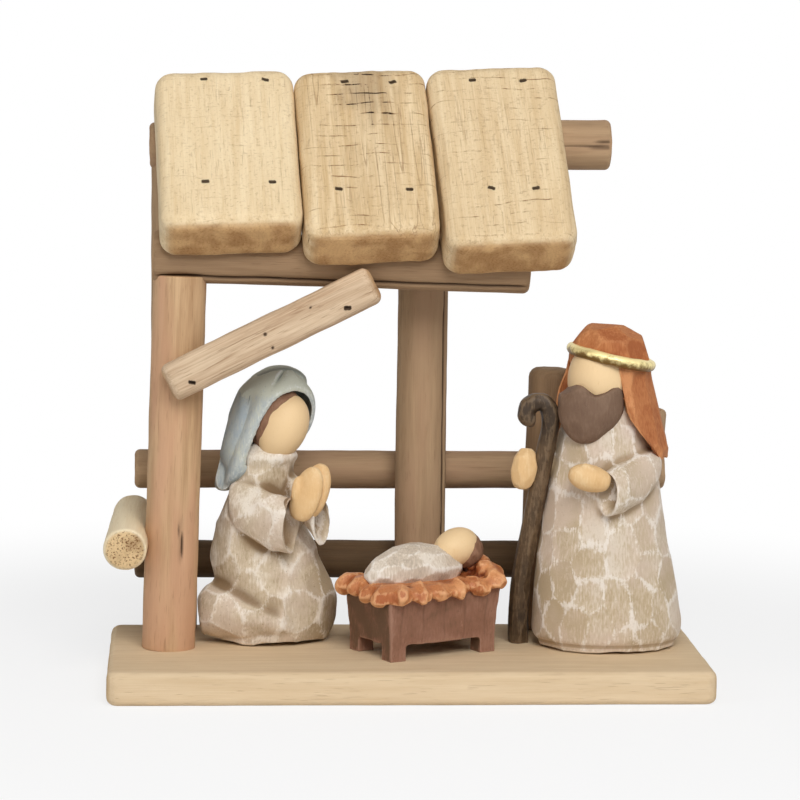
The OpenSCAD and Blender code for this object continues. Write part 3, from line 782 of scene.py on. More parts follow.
# %% Lofts
def loft(name, rings, sides=40, smooth=2):
    """Skin a stack of oval rings and smooth the skin."""
    piece = add(name, bpy.ops.mesh.primitive_circle_add, vertices=sides, radius=MM,
                fill_type="NGON")
    before = (0, 0, 0, 1, 1)
    with editing(piece):
        for number, ring in enumerate(rings):
            height, across, deep, half_w, half_d = ring
            step = Vector((across - before[1], deep - before[2], height - before[0])) * MM
            if number:
                bpy.ops.mesh.extrude_region_move(TRANSFORM_OT_translate={"value": step})
            else:
                bpy.ops.transform.translate(value=step)
            bpy.ops.transform.resize(value=(half_w / before[3], half_d / before[4], 1),
                                     center_override=Vector((across, deep, height)) * MM)
            before = ring
        bpy.ops.mesh.select_all(action="SELECT")
        bpy.ops.mesh.normals_make_consistent(inside=False)
    modify(piece, "SUBSURF", levels=smooth, render_levels=smooth)
    return piece


def sleeve(name, start, towards, rings):
    """A loft that runs level from a shoulder; a ring's first offset is upwards."""
    run = (Vector(towards) - Vector(start)).normalized()
    up = Vector((0, 0, 1))
    piece = loft(name, rings, 28, 1)
    turn = Matrix((up, run.cross(up), run)).transposed().to_4x4()
    settle(piece, moved(start) @ turn)
    return piece


# %% [markdown]
# Carving needs a skin of fine even faces, so every figure is remeshed and softened first. The
# strokes of a tool land at random, but never quite on top of each other: spots are drawn one by
# one, and a spot too near an earlier one is dropped. Averaging neighbours softens whatever is
# stored on the skin.

# %% An even skin and scattered spots
TONE_BLUR = 5
MOST_SPOTS = 5000


def even_skin(piece, voxel, soften=6):
    """Give a piece a fine even mesh, and soften it."""
    modify(piece, "REMESH", mode="VOXEL", voxel_size=voxel * MM)
    modify(piece, "SMOOTH", factor=0.5, iterations=soften)


def scatter(points, cell, seed):
    """Points that lie about a cell apart, picked at random, as row numbers."""
    picker = random.Random(seed)
    rows = []
    for row in picker.sample(range(len(points)), min(len(points), MOST_SPOTS)):
        gap = cell * picker.uniform(0.75, 1.25)
        if not rows or np.linalg.norm(points[rows] - points[row], axis=1).min() > gap:
            rows.append(row)
    return rows


def blur(piece, values, rounds):
    """Average every vertex's row of values with its neighbours' rows, a number of times."""
    pairs = np.empty(len(piece.data.edges) * 2, dtype=np.int32)
    piece.data.edges.foreach_get("vertices", pairs)
    first, second = pairs.reshape(-1, 2).T
    count = np.bincount(pairs, minlength=len(values))
    for step in range(rounds):
        values = np.column_stack([
            (np.bincount(first, column[second], len(values))
             + np.bincount(second, column[first], len(values))) / count
            for column in values.T])
    return values


# %% [markdown]
# The figures were carved before they were cast. A knife slices flat facets off the skin. A
# sculpting brush could do it by hand; here each slice is a plane a little below a chosen spot, and
# whatever stands above it goes. Every slice also keeps a tone of its own for the paint.

# %% Knife
RAGGED, DEEPEST = 0.35, 1.5
SLICE_CORE, SLICE_FULL, SLICE_END = 0.5, 0.8, 1.2
SAME_SIDE = 0.3


def carve(piece, cell, depth, seed, tall=1.0, share=1.0):
    """Slice flat facets off the skin: about a cell wide, this much taller than wide."""
    points, normals = points_of(piece), normals_of(piece)
    squeezed = points / (1, 1, tall)
    sink, tones = np.zeros(len(points)), np.full(len(points), 0.5)
    picker = random.Random(seed)
    ragged = RAGGED * depth * lumps(points * 0.45, seed)
    for row in scatter(squeezed, cell, seed):
        away = np.linalg.norm(squeezed - squeezed[row], axis=1) / cell
        facing = normals[away < SLICE_CORE].mean(0)
        facing /= np.linalg.norm(facing)
        above = np.clip((points - points[row]) @ facing + depth, 0, DEEPEST * depth)
        reach = (1 - fade(away, SLICE_FULL, SLICE_END)) * (normals @ facing > SAME_SIDE)
        slice_ = above * reach
        tones[slice_ + ragged * (slice_ > 0) > sink] = picker.random()
        sink = np.maximum(sink, slice_)
    move_to(piece, points - normals * (sink * share)[:, None])
    modify(piece, "SMOOTH", factor=0.5, iterations=2)
    keep(piece, "facet", blur(piece, tones[:, None], TONE_BLUR)[:, 0])


# %% [markdown]
# A gouge leaves round scoops with ridges between them. Scattered seeds divide the skin into cells,
# as pebbles do, and each spot sinks most at its cell's seed. The spots are swayed a little first,
# because cells with straight borders look like a honeycomb and not like handwork.

# %% Gouge
SWAY = 0.28
SCOOP_REACH = 0.75
RIDGE_WIDTH = 0.4


def gouge(piece, cell, depth, seed, tall=1.0):
    """Scoop the skin: cells of about this width, this much taller than wide."""
    points, normals = points_of(piece), normals_of(piece)
    squeezed = points / (1, 1, tall)
    seeds = squeezed[scatter(squeezed, cell, seed)]
    sway = [lumps(points * 0.11, seed + axis) for axis in range(3)]
    squeezed = squeezed + SWAY * cell * np.column_stack(sway)
    tree = kdtree.KDTree(len(seeds))
    for number, spot in enumerate(seeds):
        tree.insert(spot, number)
    tree.balance()
    hits = [tree.find_n(spot, 2) for spot in squeezed]
    nearest = np.array([(first[2], second[2]) for first, second in hits])
    scoop = np.clip(1 - (nearest[:, 0] / (SCOOP_REACH * cell)) ** 2, 0, 1)
    move_to(piece, points - normals * (depth * scoop)[:, None])
    picker = random.Random(seed)
    tones = np.array([picker.random() for spot in seeds])
    tones = tones[[first[1] for first, second in hits]]
    keep(piece, "facet", blur(piece, tones[:, None], TONE_BLUR)[:, 0])
    border = (nearest[:, 1] - nearest[:, 0]) / (RIDGE_WIDTH * cell)
    keep(piece, "ridge", 1 - np.clip(border, 0, 1))


# %% [markdown]
# The paint has to know where edges catch the brush and hollows keep the wash. Every spot is
# compared with its softened surroundings, near and wide, and the difference is stored. Blender's
# own pointiness does something like it, but with one fixed width.

# %% Edges, place and tone
WIDER = 7


def feel_edges(piece, rounds):
    """Store how far each spot stands out from its surroundings, near and wide, in millimetres."""
    points, normals = points_of(piece), normals_of(piece)
    near = blur(piece, points, rounds)
    wide = blur(piece, near, WIDER * rounds)
    keep(piece, "raised", ((points - near) * normals).sum(1))
    keep(piece, "bulge", ((points - wide) * normals).sum(1))


def place_figure(x, y):
    """The move from a figure's own foot to its place on the base board."""
    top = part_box("base_board")[1].z
    return Matrix.Translation((x * MM, y * MM, top))


def retone(piece, change):
    """Make some places of a piece paler (above 0) or darker (below 0) for its paint."""
    keep(piece, "facet", kept(piece, "facet") + change)


def finish_resin(piece, figure, coat, rounds=10):
    """Put a resin piece in its figure's place, feel its edges and paint it."""
    place, node, slot = figure
    settle(piece, place)
    if "facet" not in piece.data.attributes:
        keep(piece, "facet", np.full(len(piece.data.vertices), 0.5))
    feel_edges(piece, rounds)
    dress(piece, coats[coat], node)


# %% [markdown]
# The paint of the figures is put on in coats. Each facet got its own brush load, so it is a little
# darker or paler than its neighbour, with ragged strokes between them. A thin brown wash stays in
# the hollows, and a nearly dry brush of a pale colour touches the edges. On the robes that brush
# also drew a loose net along the ridges of the scoops.

# %% The dry-brushed paint
def brushed_paint(name, shade, base, light, wash, brush, patch=0.8, edge=0.4, dirt=0.6, net=0.0,
                  seam=False, roughness=0.7, blush=None, stroke=0.9):
    """Three tones, a wash, a dry brush, and how strong each of them is."""
    paint = Paint(name)
    spot = paint.place()
    raised, bulge = paint.kept("raised"), paint.kept("bulge")
    mottle = paint.cloud(spot, 0.14, 4.0, 0.6) - 0.5
    grit = paint.cloud(spot, 1.3, 4.0, 0.7) - 0.5
    bristle = paint.cloud(paint.stretch(spot, (1.8, 1.8, 0.4)), 1.0, 3.0, 0.6) - 0.5
    specks = paint.cloud(spot, 1.8, 2.0).step(0.64, 0.74)
    tone = 0.5 + (paint.kept("facet") - 0.5) * patch
    # Painted light and shade: broad bulges are painted paler and broad hollows darker.
    tone = tone + mottle * 1.5 + bristle * stroke + bulge * 0.3
    colour = paint.mix(tone.step(0.05, 0.55), shade, base)
    colour = paint.mix(tone.step(0.5, 1.0), colour, light)
    hollow = (mottle * 0.35 + grit * 0.15 + bristle * 0.25 - raised - bulge * 0.22).step(0.0, 0.5)
    if blush:
        patches = paint.cloud(spot, 0.05, 3.0, 0.6).step(0.4, 0.65)
        colour = paint.mix(patches * 0.6, colour, blush)
    colour = paint.mix(hollow * dirt, colour, wash)
    if net:
        lines = (paint.kept("ridge") + mottle * 2.0 + bristle * 1.4 + grit * 1.4).step(0.6, 1.1)
        colour = paint.mix(lines * net, colour, brush)
    touch = (raised * 5.0 + bristle * 1.8 + grit * 0.8).step(0.3, 0.9)
    colour = paint.mix(touch * edge, colour, brush)
    colour = paint.mix(specks * (0.5 * dirt), colour, wash)
    if seam:
        colour = paint.mix(paint.kept("seam").step(0.2, 0.9) * 0.6, colour, wash)
    return paint.finish(colour, roughness, grit * 0.5 + bristle * 0.4, 0.14, gloss=0.3)


# %% [markdown]
# Each material on the figures has its row in a table: cloth, skin, hair, straw or box wood. The
# colours are those of a paint chart. A smooth face needs little contrast, and rough cloth a lot.

# %% The coats of the figures
# Name: shade, base, light, wash and dry brush, and the strength of its marks.
COATS = {
    "kneeling robe": (
        (171, 151, 122), (203, 186, 160), (234, 224, 208), (126, 100, 70), (234, 225, 213),
        dict(patch=0.6, edge=0.45, dirt=0.9, net=0.45, blush=(208, 188, 171), stroke=1.1)),
    "standing robe": (
        (184, 164, 134), (199, 181, 155), (216, 202, 184), (146, 120, 88), (232, 223, 212),
        dict(dirt=0.7, net=0.75, seam=True, blush=(211, 191, 175), stroke=2.2)),
    "veil": (
        (164, 175, 180), (186, 193, 190), (200, 203, 188), (122, 128, 122), (224, 227, 225),
        dict(patch=0.3, edge=0.7, dirt=0.7, stroke=1.4)),
    "scarf": (
        (158, 90, 50), (179, 113, 68), (200, 136, 88), (116, 62, 34), (208, 148, 98),
        dict(patch=0.7, edge=0.18, stroke=1.3)),
    "beard": (
        (102, 78, 62), (114, 89, 71), (124, 99, 80), (76, 56, 44), (140, 114, 94),
        dict(patch=0.5, edge=0.3, dirt=0.4)),
    "hair": (
        (104, 72, 56), (126, 90, 68), (140, 104, 80), (74, 48, 38), (158, 122, 98),
        dict(patch=0.5, edge=0.3, dirt=0.5)),
    "skin": (
        (216, 174, 120), (224, 185, 133), (231, 198, 150), (198, 152, 102), (242, 218, 178),
        dict(patch=0.2, edge=0.2, dirt=0.35, roughness=0.55)),
    "staff": (
        (58, 44, 30), (82, 64, 45), (112, 90, 66), (34, 24, 16), (136, 113, 87),
        dict(patch=0.7, edge=0.35, dirt=0.8, roughness=0.5)),
    "manger": (
        (102, 76, 56), (134, 95, 75), (150, 110, 90), (80, 56, 40), (168, 130, 110),
        dict(patch=1.0, seam=True)),
    "straw": (
        (166, 94, 52), (190, 122, 76), (212, 148, 98), (112, 54, 28), (230, 178, 130),
        dict(edge=0.45, dirt=0.9, roughness=0.45)),
    "swaddling": (
        (180, 165, 148), (204, 189, 170), (224, 213, 198), (146, 132, 116), (240, 234, 225),
        dict(patch=0.6, edge=0.6, stroke=1.5)),
}
coats = {name: brushed_paint(name, *tones, **marks) for name, (*tones, marks) in COATS.items()}
print("resin paints:", len(coats))


# %% [markdown]
# The kneeling figure's robe is one lump: the body, the lower legs folded under it and two bell
# sleeves. Left as separate shapes they would show hard lines where they meet. So they are joined
# and remeshed, which melts them together as in the casting, and then gouged in broad cells. The
# side turned to the manger is painted darker below: painted shade.

# %% Kneeling figure: robe
KNEELING = (place_figure(-42, 12), "kneeling_figure", "painted_resin")
BODY = [
    (0, 0.8, 0, 17.2, 12), (0.5, 0.9, 0, 18, 12.6), (4, 1.8, 0, 19.4, 13.2),
    (10, 2.6, 0, 19.8, 13.4), (18, 2.2, 0, 19.2, 13), (26, -0.6, 0, 17.2, 12),
    (34, -2.4, -0.5, 15.2, 11), (42, -2.5, -0.5, 12.2, 10), (48, -1.8, -1, 10.4, 9),
    (53, -0.4, -1.5, 8.8, 7.9), (55.4, 0.2, -2, 8.2, 7.4), (56.4, 0.4, -2.2, 9, 8.2),
    (59, 1, -2.6, 8.6, 7.8), (60.4, 1.2, -2.6, 6.8, 6.2), (63, 1.6, -2.6, 4, 4),
]
SHIN = [
    (0, 9.6, 0, 4.6, 4.6), (0.8, 9.7, 0, 7.4, 7.4), (4, 9.9, 0.2, 9.7, 9.8),
    (10, 10, 0.6, 9.8, 11.6), (17, 8.8, 0.7, 8.6, 12), (24, 7.4, 0.6, 7.2, 11.6),
    (30, 6.2, 0, 6, 10), (34, 5.6, 0, 4.6, 7), (35, 5.6, 0, 2, 3),
]
NEAR_SLEEVE = [
    (-3, -3, 0, 4, 3.2), (-1, -4.4, 0, 6.8, 4.6), (3, -6.4, 0, 9, 5.8), (8, -8, 0, 9.7, 6.4),
    (13, -9.2, 0, 9.5, 6.3), (18.6, -10, 0, 9.2, 5.8), (19.6, -10.2, 0, 8.8, 5.4),
    (19.6, -9.8, 0, 6.8, 3.4), (14, -8, 0, 5.6, 2.6),
]
FAR_SLEEVE = [
    (-1, 1, 0, 3.4, 3.4), (2, 0, 0, 5.4, 4.6), (7, -4, 0, 6.8, 5), (13.6, -9.4, 0, 7.6, 4.9),
    (14.6, -9.8, 0, 7.3, 4.9), (14.6, -9.6, 0, 5.4, 3.2), (11, -7.6, 0, 4.4, 2.2),
]
robe = join(
    "kneeling_robe",
    loft("body", BODY),
    sleeve("shin", (-22, -2, 0), (10, -3.5, 0), SHIN),
    sleeve("near sleeve", (-9.5, -6.5, 48), (7.5, -16, 48), NEAR_SLEEVE),
    sleeve("far sleeve", (6, -2, 48), (16.5, -12, 48), FAR_SLEEVE),
)
even_skin(robe, voxel=0.45)
gouge(robe, cell=11, depth=1.3, seed=3, tall=1.1)
across, _, height = points_of(robe).T
# Painted shade: the low part of the robe's side towards the manger is painted darker.
retone(robe, -1.1 * fade(across, 8, 18) * (1 - fade(height, 24, 34)))
finish_resin(robe, KNEELING, "kneeling robe")

# %% [markdown]
# The veil is a hood: a loft whose front is sliced off along a leaning plane, and which is then
# hollowed out by a smaller copy pushed forward. What is left is a thin rim round the face, and
# a long corner that hangs down the back. A sheet of cloth could be draped, but the real veil is
# cast and carved as well. Its crown is painted paler: partly dry brush, partly painted light.

# %% Kneeling figure: veil
VEIL = [
    (46, -13.4, 3, 2, 4), (47, -13, 3, 3.2, 6), (50, -11.6, 3, 4.8, 8.4), (55, -7.6, 3, 8.2, 10.7),
    (60, -2.9, 3, 12.4, 12.2), (66, 0.2, 2.5, 13.9, 12.8), (74, 2, 1.5, 12.9, 12.2),
    (79, 2.2, 1.5, 10.6, 10), (83, 3.2, 1.5, 6.8, 6.4), (84.8, 3.6, 1.5, 2.4, 2.4),
]
RIM_POINT, RIM_FACING = Vector((-3, -8.4, 66)), Vector((0.5, -0.81, -0.31))
HEAD_MIDDLE = Vector((2, 1.5, 70))
WALL = 0.86
FORWARD = 0.9


def slab_ahead(point, facing):
    """A big block whose back face lies on a plane."""
    slab = add("slab", bpy.ops.mesh.primitive_cube_add, size=0.2, location=(0, 0, 0.1))
    settle(slab)
    settle(slab, moved(point) @ facing.to_track_quat("Z", "Y").to_matrix().to_4x4())
    return slab


veil = loft("veil", VEIL)
hollow = loft("hollow", VEIL)
smaller = Matrix.Scale(WALL, 4) @ moved(-HEAD_MIDDLE)
settle(hollow, moved(HEAD_MIDDLE + RIM_FACING * FORWARD) @ smaller)
cut(veil, hollow, slab_ahead(RIM_POINT, RIM_FACING))
even_skin(veil, voxel=0.35)
behind = (np.array(RIM_POINT) - points_of(veil)) @ np.array(RIM_FACING)
carve(veil, cell=8.5, depth=1.5, seed=5, tall=1.5, share=fade(behind, 1, 7))
# Partly painted light: the crown is painted paler against the shade under the roof.
retone(veil, 2.2 * fade(points_of(veil)[:, 2], 74, 80))
finish_resin(veil, KNEELING, "veil", rounds=6)

# %% [markdown]
# Head and hair are eggs: rings on a half circle, lofted like the robe. A squashed ball would be
# quicker, but the rings let a chin be narrower. The face is left smooth and blank, as on the real
# figure. The hair is a second egg, a little larger and set back, so that a strip of it shows under
# the rim.

# %% Kneeling figure: head
LAST_RING = 80


def egg(name, middle, half_length, radius, lean=0, nod=0, chin=0.0, rings=14):
    """An egg: leaning aside and nodding by degrees, narrower at the bottom by the chin's share."""
    stack = []
    for turn in np.linspace(-LAST_RING, LAST_RING, rings):
        height = half_length * math.sin(math.radians(turn))
        half = radius * math.cos(math.radians(turn)) * (1 + chin * height / half_length)
        stack.append((height, 0, 0, half, half))
    piece = loft(name, stack, 32, 1)
    settle(piece, moved(middle) @ turned(lean, "Y") @ turned(nod, "X"))
    return piece


face = egg("kneeling_face", (4.2, -3.9, 66.6), 10.6, 7.8, lean=20, nod=-6, chin=0.06)
finish_resin(face, KNEELING, "skin")
hair = egg("kneeling_hair", (2.5, -2.5, 68.3), 10.6, 8, lean=20)
even_skin(hair, voxel=0.5, soften=2)
carve(hair, cell=4, depth=0.3, seed=8, tall=2.0)
finish_resin(hair, KNEELING, "hair")

# %% [markdown]
# The hands are pressed together. One hand is a flat loft with closed fingers and an egg for the
# thumb, melted together by a remesh. It is made twice, side by side, and both lean forward.

# %% Kneeling figure: hands
PALM = [
    (-8.4, 0, 0, 1.6, 1.4), (-7, 0, 0, 3.8, 2.4), (-3, 0, 0, 5.1, 3), (2, 0, 0, 5.1, 2.9),
    (5.6, 0, 0, 4.2, 2.5), (8.2, 0, 0, 2.2, 1.6), (8.8, 0, 0, 0.9, 0.9),
]
PRESS, LEAN = -36, 18


def palm(name, middle):
    """A flat hand with the fingers closed, and a thumb along it."""
    thumb = egg("thumb", (-2.6, -2.0, 0.6), 4.2, 1.7, lean=-14, rings=8)
    piece = join(name, loft("palm", PALM, 24, 1), thumb)
    even_skin(piece, voxel=0.35, soften=8)
    settle(piece, moved(middle) @ turned(LEAN, "Y") @ turned(PRESS, "Z"))
    return piece


for name, middle in (("near_hand", (11.3, -15.2, 47.4)), ("far_hand", (13.7, -12.4, 48))):
    finish_resin(palm(name, middle), KNEELING, "skin", rounds=6)

# %% [markdown]
# The standing figure's robe is a tall cone with a thin hem, an arm that reaches to the staff and
# a wide sleeve across the front. It is made like the kneeling robe, as both show the same tools.
# Its gouge marks are rounder and closer, and the dry brush makes a pale net of their ridges.

# %% Standing figure: robe
STANDING = (place_figure(62, 3.3), "standing_figure", "painted_resin")
GOWN = [
    (0, 0, 0, 20.6, 15.4), (0.4, 0, 0, 21.2, 15.8), (1.8, -0.1, 0, 21.6, 16.1),
    (2.4, -0.2, 0, 21.4, 16), (3.2, -0.3, 0, 23, 16.9), (8, -0.2, 0, 23.5, 17.1),
    (16, -0.8, 0, 22.6, 16.4), (25, -1.4, 0, 21.3, 15.6), (34, -1.8, 0, 20, 14.8),
    (48, -1.8, 0, 17.7, 13.4), (56, -1.9, 0, 16.3, 12.7), (63, -2.1, 0, 14.8, 11.8),
    (70, -2.6, 0, 12.8, 10.6), (76, -3.2, 0, 9.8, 9.2), (80, -3.5, 0, 6.5, 7),
]
CROSS_SLEEVE = [
    (-3, -3, 0, 3, 3), (0, -5, 0, 6.4, 4.6), (5, -7.4, 0, 8, 5.6), (10, -9, 0, 8.1, 5.8),
    (15, -10.4, 0, 7.9, 5.6), (18, -11.2, 0, 7.6, 5.3), (19, -11.4, 0, 7.2, 5),
    (19, -11.2, 0, 5.2, 3.1), (14, -9, 0, 4.4, 2.4),
]
ARM = [
    (-2, 0, 0, 3, 3), (2, 0, 0, 4.6, 4.4), (8, -1, 0, 4.3, 4), (12.6, -1.8, 0, 3.8, 3.4),
    (13.2, -2, 0, 2.6, 2.4),
]
HEM_SEAM = 2.3
gown = join(
    "standing_robe",
    loft("gown", GOWN),
    sleeve("cross sleeve", (12, -6, 60.5), (-3.4, -17, 60.5), CROSS_SLEEVE),
    sleeve("staff arm", (-13, 2, 57), (-27, 0.4, 57), ARM),
)
even_skin(gown, voxel=0.45, soften=5)
gouge(gown, cell=7.6, depth=0.6, seed=12, tall=1.5)
across, _, height = points_of(gown).T
# Painted shade: the left side of the gown is painted darker.
retone(gown, -0.45 * (1 - fade(across, -16, -1)))
keep(gown, "seam", 1 - fade(np.abs(height - HEM_SEAM), 0.3, 0.9))
finish_resin(gown, STANDING, "standing robe")

# %% [markdown]
# Head and beard again start from an egg and a loft. The beard's upper edge has two waves, so
# the vertices near its top are raised and lowered by a cosine across the face. Cutting the waves
# with a tool would leave a sharp edge, and the real one is soft.

# %% Standing figure: head and beard
BEARD = [
    (63.4, -9.2, -9, 2, 1.8), (65, -8.8, -8.8, 4.8, 3.6), (68, -8, -8.2, 8, 5.4),
    (72, -7.4, -7.6, 9.9, 6.8), (76, -7, -7, 10.4, 7.5), (79.6, -6.8, -6.2, 10.2, 7.7),
    (80.4, -6.8, -6, 9.4, 7),
]
BEARD_WAVE, WAVE_MIDDLE, WAVE_HALF = 1.3, -5.6, 5.2
face = egg("standing_face", (-4.2, -2.4, 82), 12.4, 9.7)
finish_resin(face, STANDING, "skin")
beard = loft("beard", BEARD)
even_skin(beard, voxel=0.4, soften=4)
points = points_of(beard)
wave = np.cos((points[:, 0] - WAVE_MIDDLE) / WAVE_HALF * math.pi)
points[:, 2] -= BEARD_WAVE * fade(points[:, 2], 74, 80) * wave
move_to(beard, points)
carve(beard, cell=7, depth=0.3, seed=21, tall=2.0)
finish_resin(beard, STANDING, "beard")

# %% [markdown]
# Both hands of the standing figure are closed fists, so one loft serves twice. The front one gets
# a thumb, and the one at the staff is cut into a few flat facets.

# %% Standing figure: hands
FIST = [
    (-6.6, 0, 0, 1.8, 1.6), (-5, 0, 0, 3.2, 3), (-1, 0, 0, 4.4, 3.9), (3, 0, 0, 4.1, 3.7),
    (5.6, 0, 0, 2.6, 2.6), (6.6, 0, 0, 1.2, 1.2),
]
front_hand = join("front_hand", loft("fist", FIST, 24, 1),
                  egg("thumb", (2.4, -1.6, 0.6), 3.4, 1.7, lean=20, rings=8))
even_skin(front_hand, voxel=0.35, soften=8)
settle(front_hand, moved((-8.4, -17, 54.2)) @ turned(-76, "Y"))
finish_resin(front_hand, STANDING, "skin", rounds=6)

staff_hand = loft("staff_hand", FIST, 24, 1)
even_skin(staff_hand, voxel=0.35, soften=8)
carve(staff_hand, cell=3.2, depth=0.3, seed=4)
settle(staff_hand, moved((-26.6, -3, 55)) @ turned(8, "Y"))
finish_resin(staff_hand, STANDING, "skin", rounds=6)

# %% [markdown]
# The headscarf is a cap and a drape joined. An outline extruded from front to back opens the
# drape over face and chest, and leaves a wide fall on one side. Cloth could be simulated, but this
# scarf was carved, so it is sliced into facets. Its cap is set darker and the drape a little paler.

# %% Standing figure: scarf
CAP = [
    (86, -0.6, 1, 12.2, 11.4), (87, -0.6, 1, 12.8, 12), (92, -0.7, 1, 12.3, 11.5),
    (96, -1, 1, 10.2, 9.8), (98.8, -1.6, 1, 6, 6), (99.6, -2, 1, 2.4, 2.4),
]
DRAPE = [
    (57.6, 2.4, 2, 15.4, 13), (58.4, 2.2, 1.6, 16.4, 14.4), (61, 1.4, 1, 17.4, 15.6),
    (68, 0.2, 1.4, 17, 15), (75, -1.2, 1.6, 16.2, 13.8), (86, -0.5, 1.2, 13.4, 12.4),
    (90, -0.6, 1, 12.5, 11.7),
]
OPENING = [
    (-30, 93), (-13.5, 90.5), (0.8, 88), (1, 80), (3.8, 70.5), (7.6, 66.6), (12.8, 59.4),
    (13.6, 56), (-30, 56),
]
OPENING_BACK, OPENING_DEEP = 2, 40


def opening_cutter():
    """The outline of the opening, filled and extruded from the middle of the head to the front."""
    cutter = add("opening", bpy.ops.mesh.primitive_circle_add, vertices=len(OPENING), radius=1,
                 fill_type="NGON")
    for vertex, (x, z) in zip(cutter.data.vertices, OPENING):
        vertex.co = Vector((x, OPENING_BACK, z)) * MM
    with editing(cutter):
        forward = (0, -OPENING_DEEP * MM, 0)
        bpy.ops.mesh.extrude_region_move(TRANSFORM_OT_translate={"value": forward})
        bpy.ops.mesh.select_all(action="SELECT")
        bpy.ops.mesh.normals_make_consistent(inside=False)
    return cutter


drape = loft("drape", DRAPE)
cut(drape, opening_cutter())
scarf = join("scarf", drape, loft("cap", CAP))
even_skin(scarf, voxel=0.45, soften=5)
carve(scarf, cell=6.5, depth=0.9, seed=9, tall=2.2)
retone(scarf, 0.2 - 0.6 * fade(points_of(scarf)[:, 2], 84, 93))
finish_resin(scarf, STANDING, "scarf")

# %% [markdown]
# A ring round the head holds the scarf, painted gold and rubbed in places. It starts as a torus,
# is tilted and gets a hand-made unevenness, since a true torus would look turned on a lathe. Its
# paint is brighter where it faces up and brown below: a painted highlight and painted shade.

# %% Standing figure: gold band
def gold_with_painted_sheen_and_wear():
    paint = Paint("worn gold")
    wear = paint.cloud(paint.place(), 0.45, 3.0, 0.6)
    # Painted highlight and shade: brighter where the band faces up and brown below, broken by wear.
    shine = (paint.kept("upward") + (wear - 0.5) * 3.0).step(-0.6, 0.6)
    colour = paint.mix(shine, (122, 92, 42), (242, 224, 160))
    return paint.finish(colour, 0.3 + wear * 0.2, wear, 0.1, gloss=0.5, metal=0.45)


band = add("gold_band", bpy.ops.mesh.primitive_torus_add, major_radius=12.1 * MM,
           minor_radius=1.75 * MM, major_segments=96, minor_segments=20)
points = points_of(band)
move_to(band, points + normals_of(band) * 0.2 * lumps(points * 0.3, 4)[:, None])
# How far each spot faces up, for the painted highlight and shade.
keep(band, "upward", normals_of(band)[:, 2])
settle(band, moved((-0.3, 0.6, 88.9)) @ turned(12, "Y"))
place, node, slot = STANDING
settle(band, place)
dress(band, gold_with_painted_sheen_and_wear(), node)

# %% [markdown]
# The staff is a bent stick with a curled end. It could be lofted ring by ring, but a curve with a
# round bevel follows the CAD staff's route more simply. It is made a mesh, remeshed and whittled
# with long narrow slices. Foot and crook are darker than the middle.

# %% Crook staff
STAFF_ROUTE = [
    (35.4, 8, 10), (35.1, 7.4, 16), (35.5, 6.4, 30), (38.8, 3.4, 51), (41.4, 0.4, 68),
    (43, -1.2, 79), (42.9, -1.5, 82.6), (41.2, -1.5, 85.3), (38.6, -1.5, 85.9), (36.2, -1.5, 84.6),
    (35.3, -1.5, 82.3), (36.2, -1.5, 80.3), (38.3, -1.5, 80.2),
]
STAFF_RADIUS = [3.3, 3.3, 3.1, 3, 2.9, 2.85, 2.8, 2.8, 2.8, 2.85, 2.85, 2.7, 2.3]
STAFF_BEVEL = 1.03


def bend_staff():
    """A curve along the staff's route, thick as the staff is there, made a mesh."""
    path = add("whittled_staff", bpy.ops.curve.primitive_nurbs_path_add)
    line = path.data.splines[0]
    line.points.add(len(STAFF_ROUTE) - len(line.points))
    for point, place, radius in zip(line.points, STAFF_ROUTE, STAFF_RADIUS):
        point.co = (*(Vector(place) * MM), 1)
        point.radius = radius
    line.order_u, line.use_endpoint_u = 3, True
    path.data.bevel_depth, path.data.bevel_resolution = STAFF_BEVEL * MM, 6
    path.data.use_fill_caps, path.data.resolution_u = True, 8
    bpy.ops.object.convert(target="MESH")
    return new_piece("whittled_staff")


staff = bend_staff()
settle(staff)
even_skin(staff, voxel=0.4, soften=3)
carve(staff, cell=2.6, depth=0.25, seed=6, tall=5.0)
points = points_of(staff)
tones = blur(staff, 0.5 + 0.2 * lumps(points * (0.4, 0.4, 0.1), 3)[:, None], 2)[:, 0]
# Painted shade: the crook is painted darker against the light from above. The foot is darker
# towards the bottom.
foot, crook = 1 - fade(points[:, 2], 14, 34), fade(points[:, 2], 70, 82)
keep(staff, "facet", tones - 0.6 * foot - 0.8 * crook)
finish_resin(staff, (Matrix.Identity(4), "crook_staff", "staff_resin"), "staff")

# %% [markdown]
# The manger is a box on four short legs. A cube is widened at its top, hollowed by an inset and
# an extrude downwards, and joined with its legs. Its plank joints are thin grooves sunk into the
# skin after remeshing, since single planks would show gaps that the casting doesn't have.

# %% Manger
MANGER_L, MANGER_W, LEG_H, BOX_H = 37.0, 24.0, 4.7, 15.3
FLARE, MANGER_WALL, LEG = 1.2, 2.4, 5.4
PLANK, GROOVE = 7.4, 0.4
manger_place = place_figure(4.6, -4.4) @ turned(28, "Z")


def box_of_planks():
    """A flared and hollowed box, and a leg under each corner."""
    box = block("box", (MANGER_L, MANGER_W, BOX_H), (0, 0, LEG_H + BOX_H / 2))
    with editing(box):
        pick(box, "faces", lambda face: face.normal.z > 0.9)
        bpy.ops.transform.resize(value=(1 + 2 * FLARE / MANGER_L, 1 + 2 * FLARE / MANGER_W, 1))
        bpy.ops.mesh.inset(thickness=MANGER_WALL * MM)
        down = (0, 0, -(BOX_H - MANGER_WALL) * MM)
        bpy.ops.mesh.extrude_region_move(TRANSFORM_OT_translate={"value": down})
    out_x, out_y = (MANGER_L - LEG) / 2, (MANGER_W - LEG) / 2
    legs = [block("leg", (LEG, LEG, LEG_H + 1), (sx * out_x, sy * out_y, LEG_H / 2 + 0.5))
            for sx in (-1, 1) for sy in (-1, 1)]
    return join("manger_box", box, *legs)


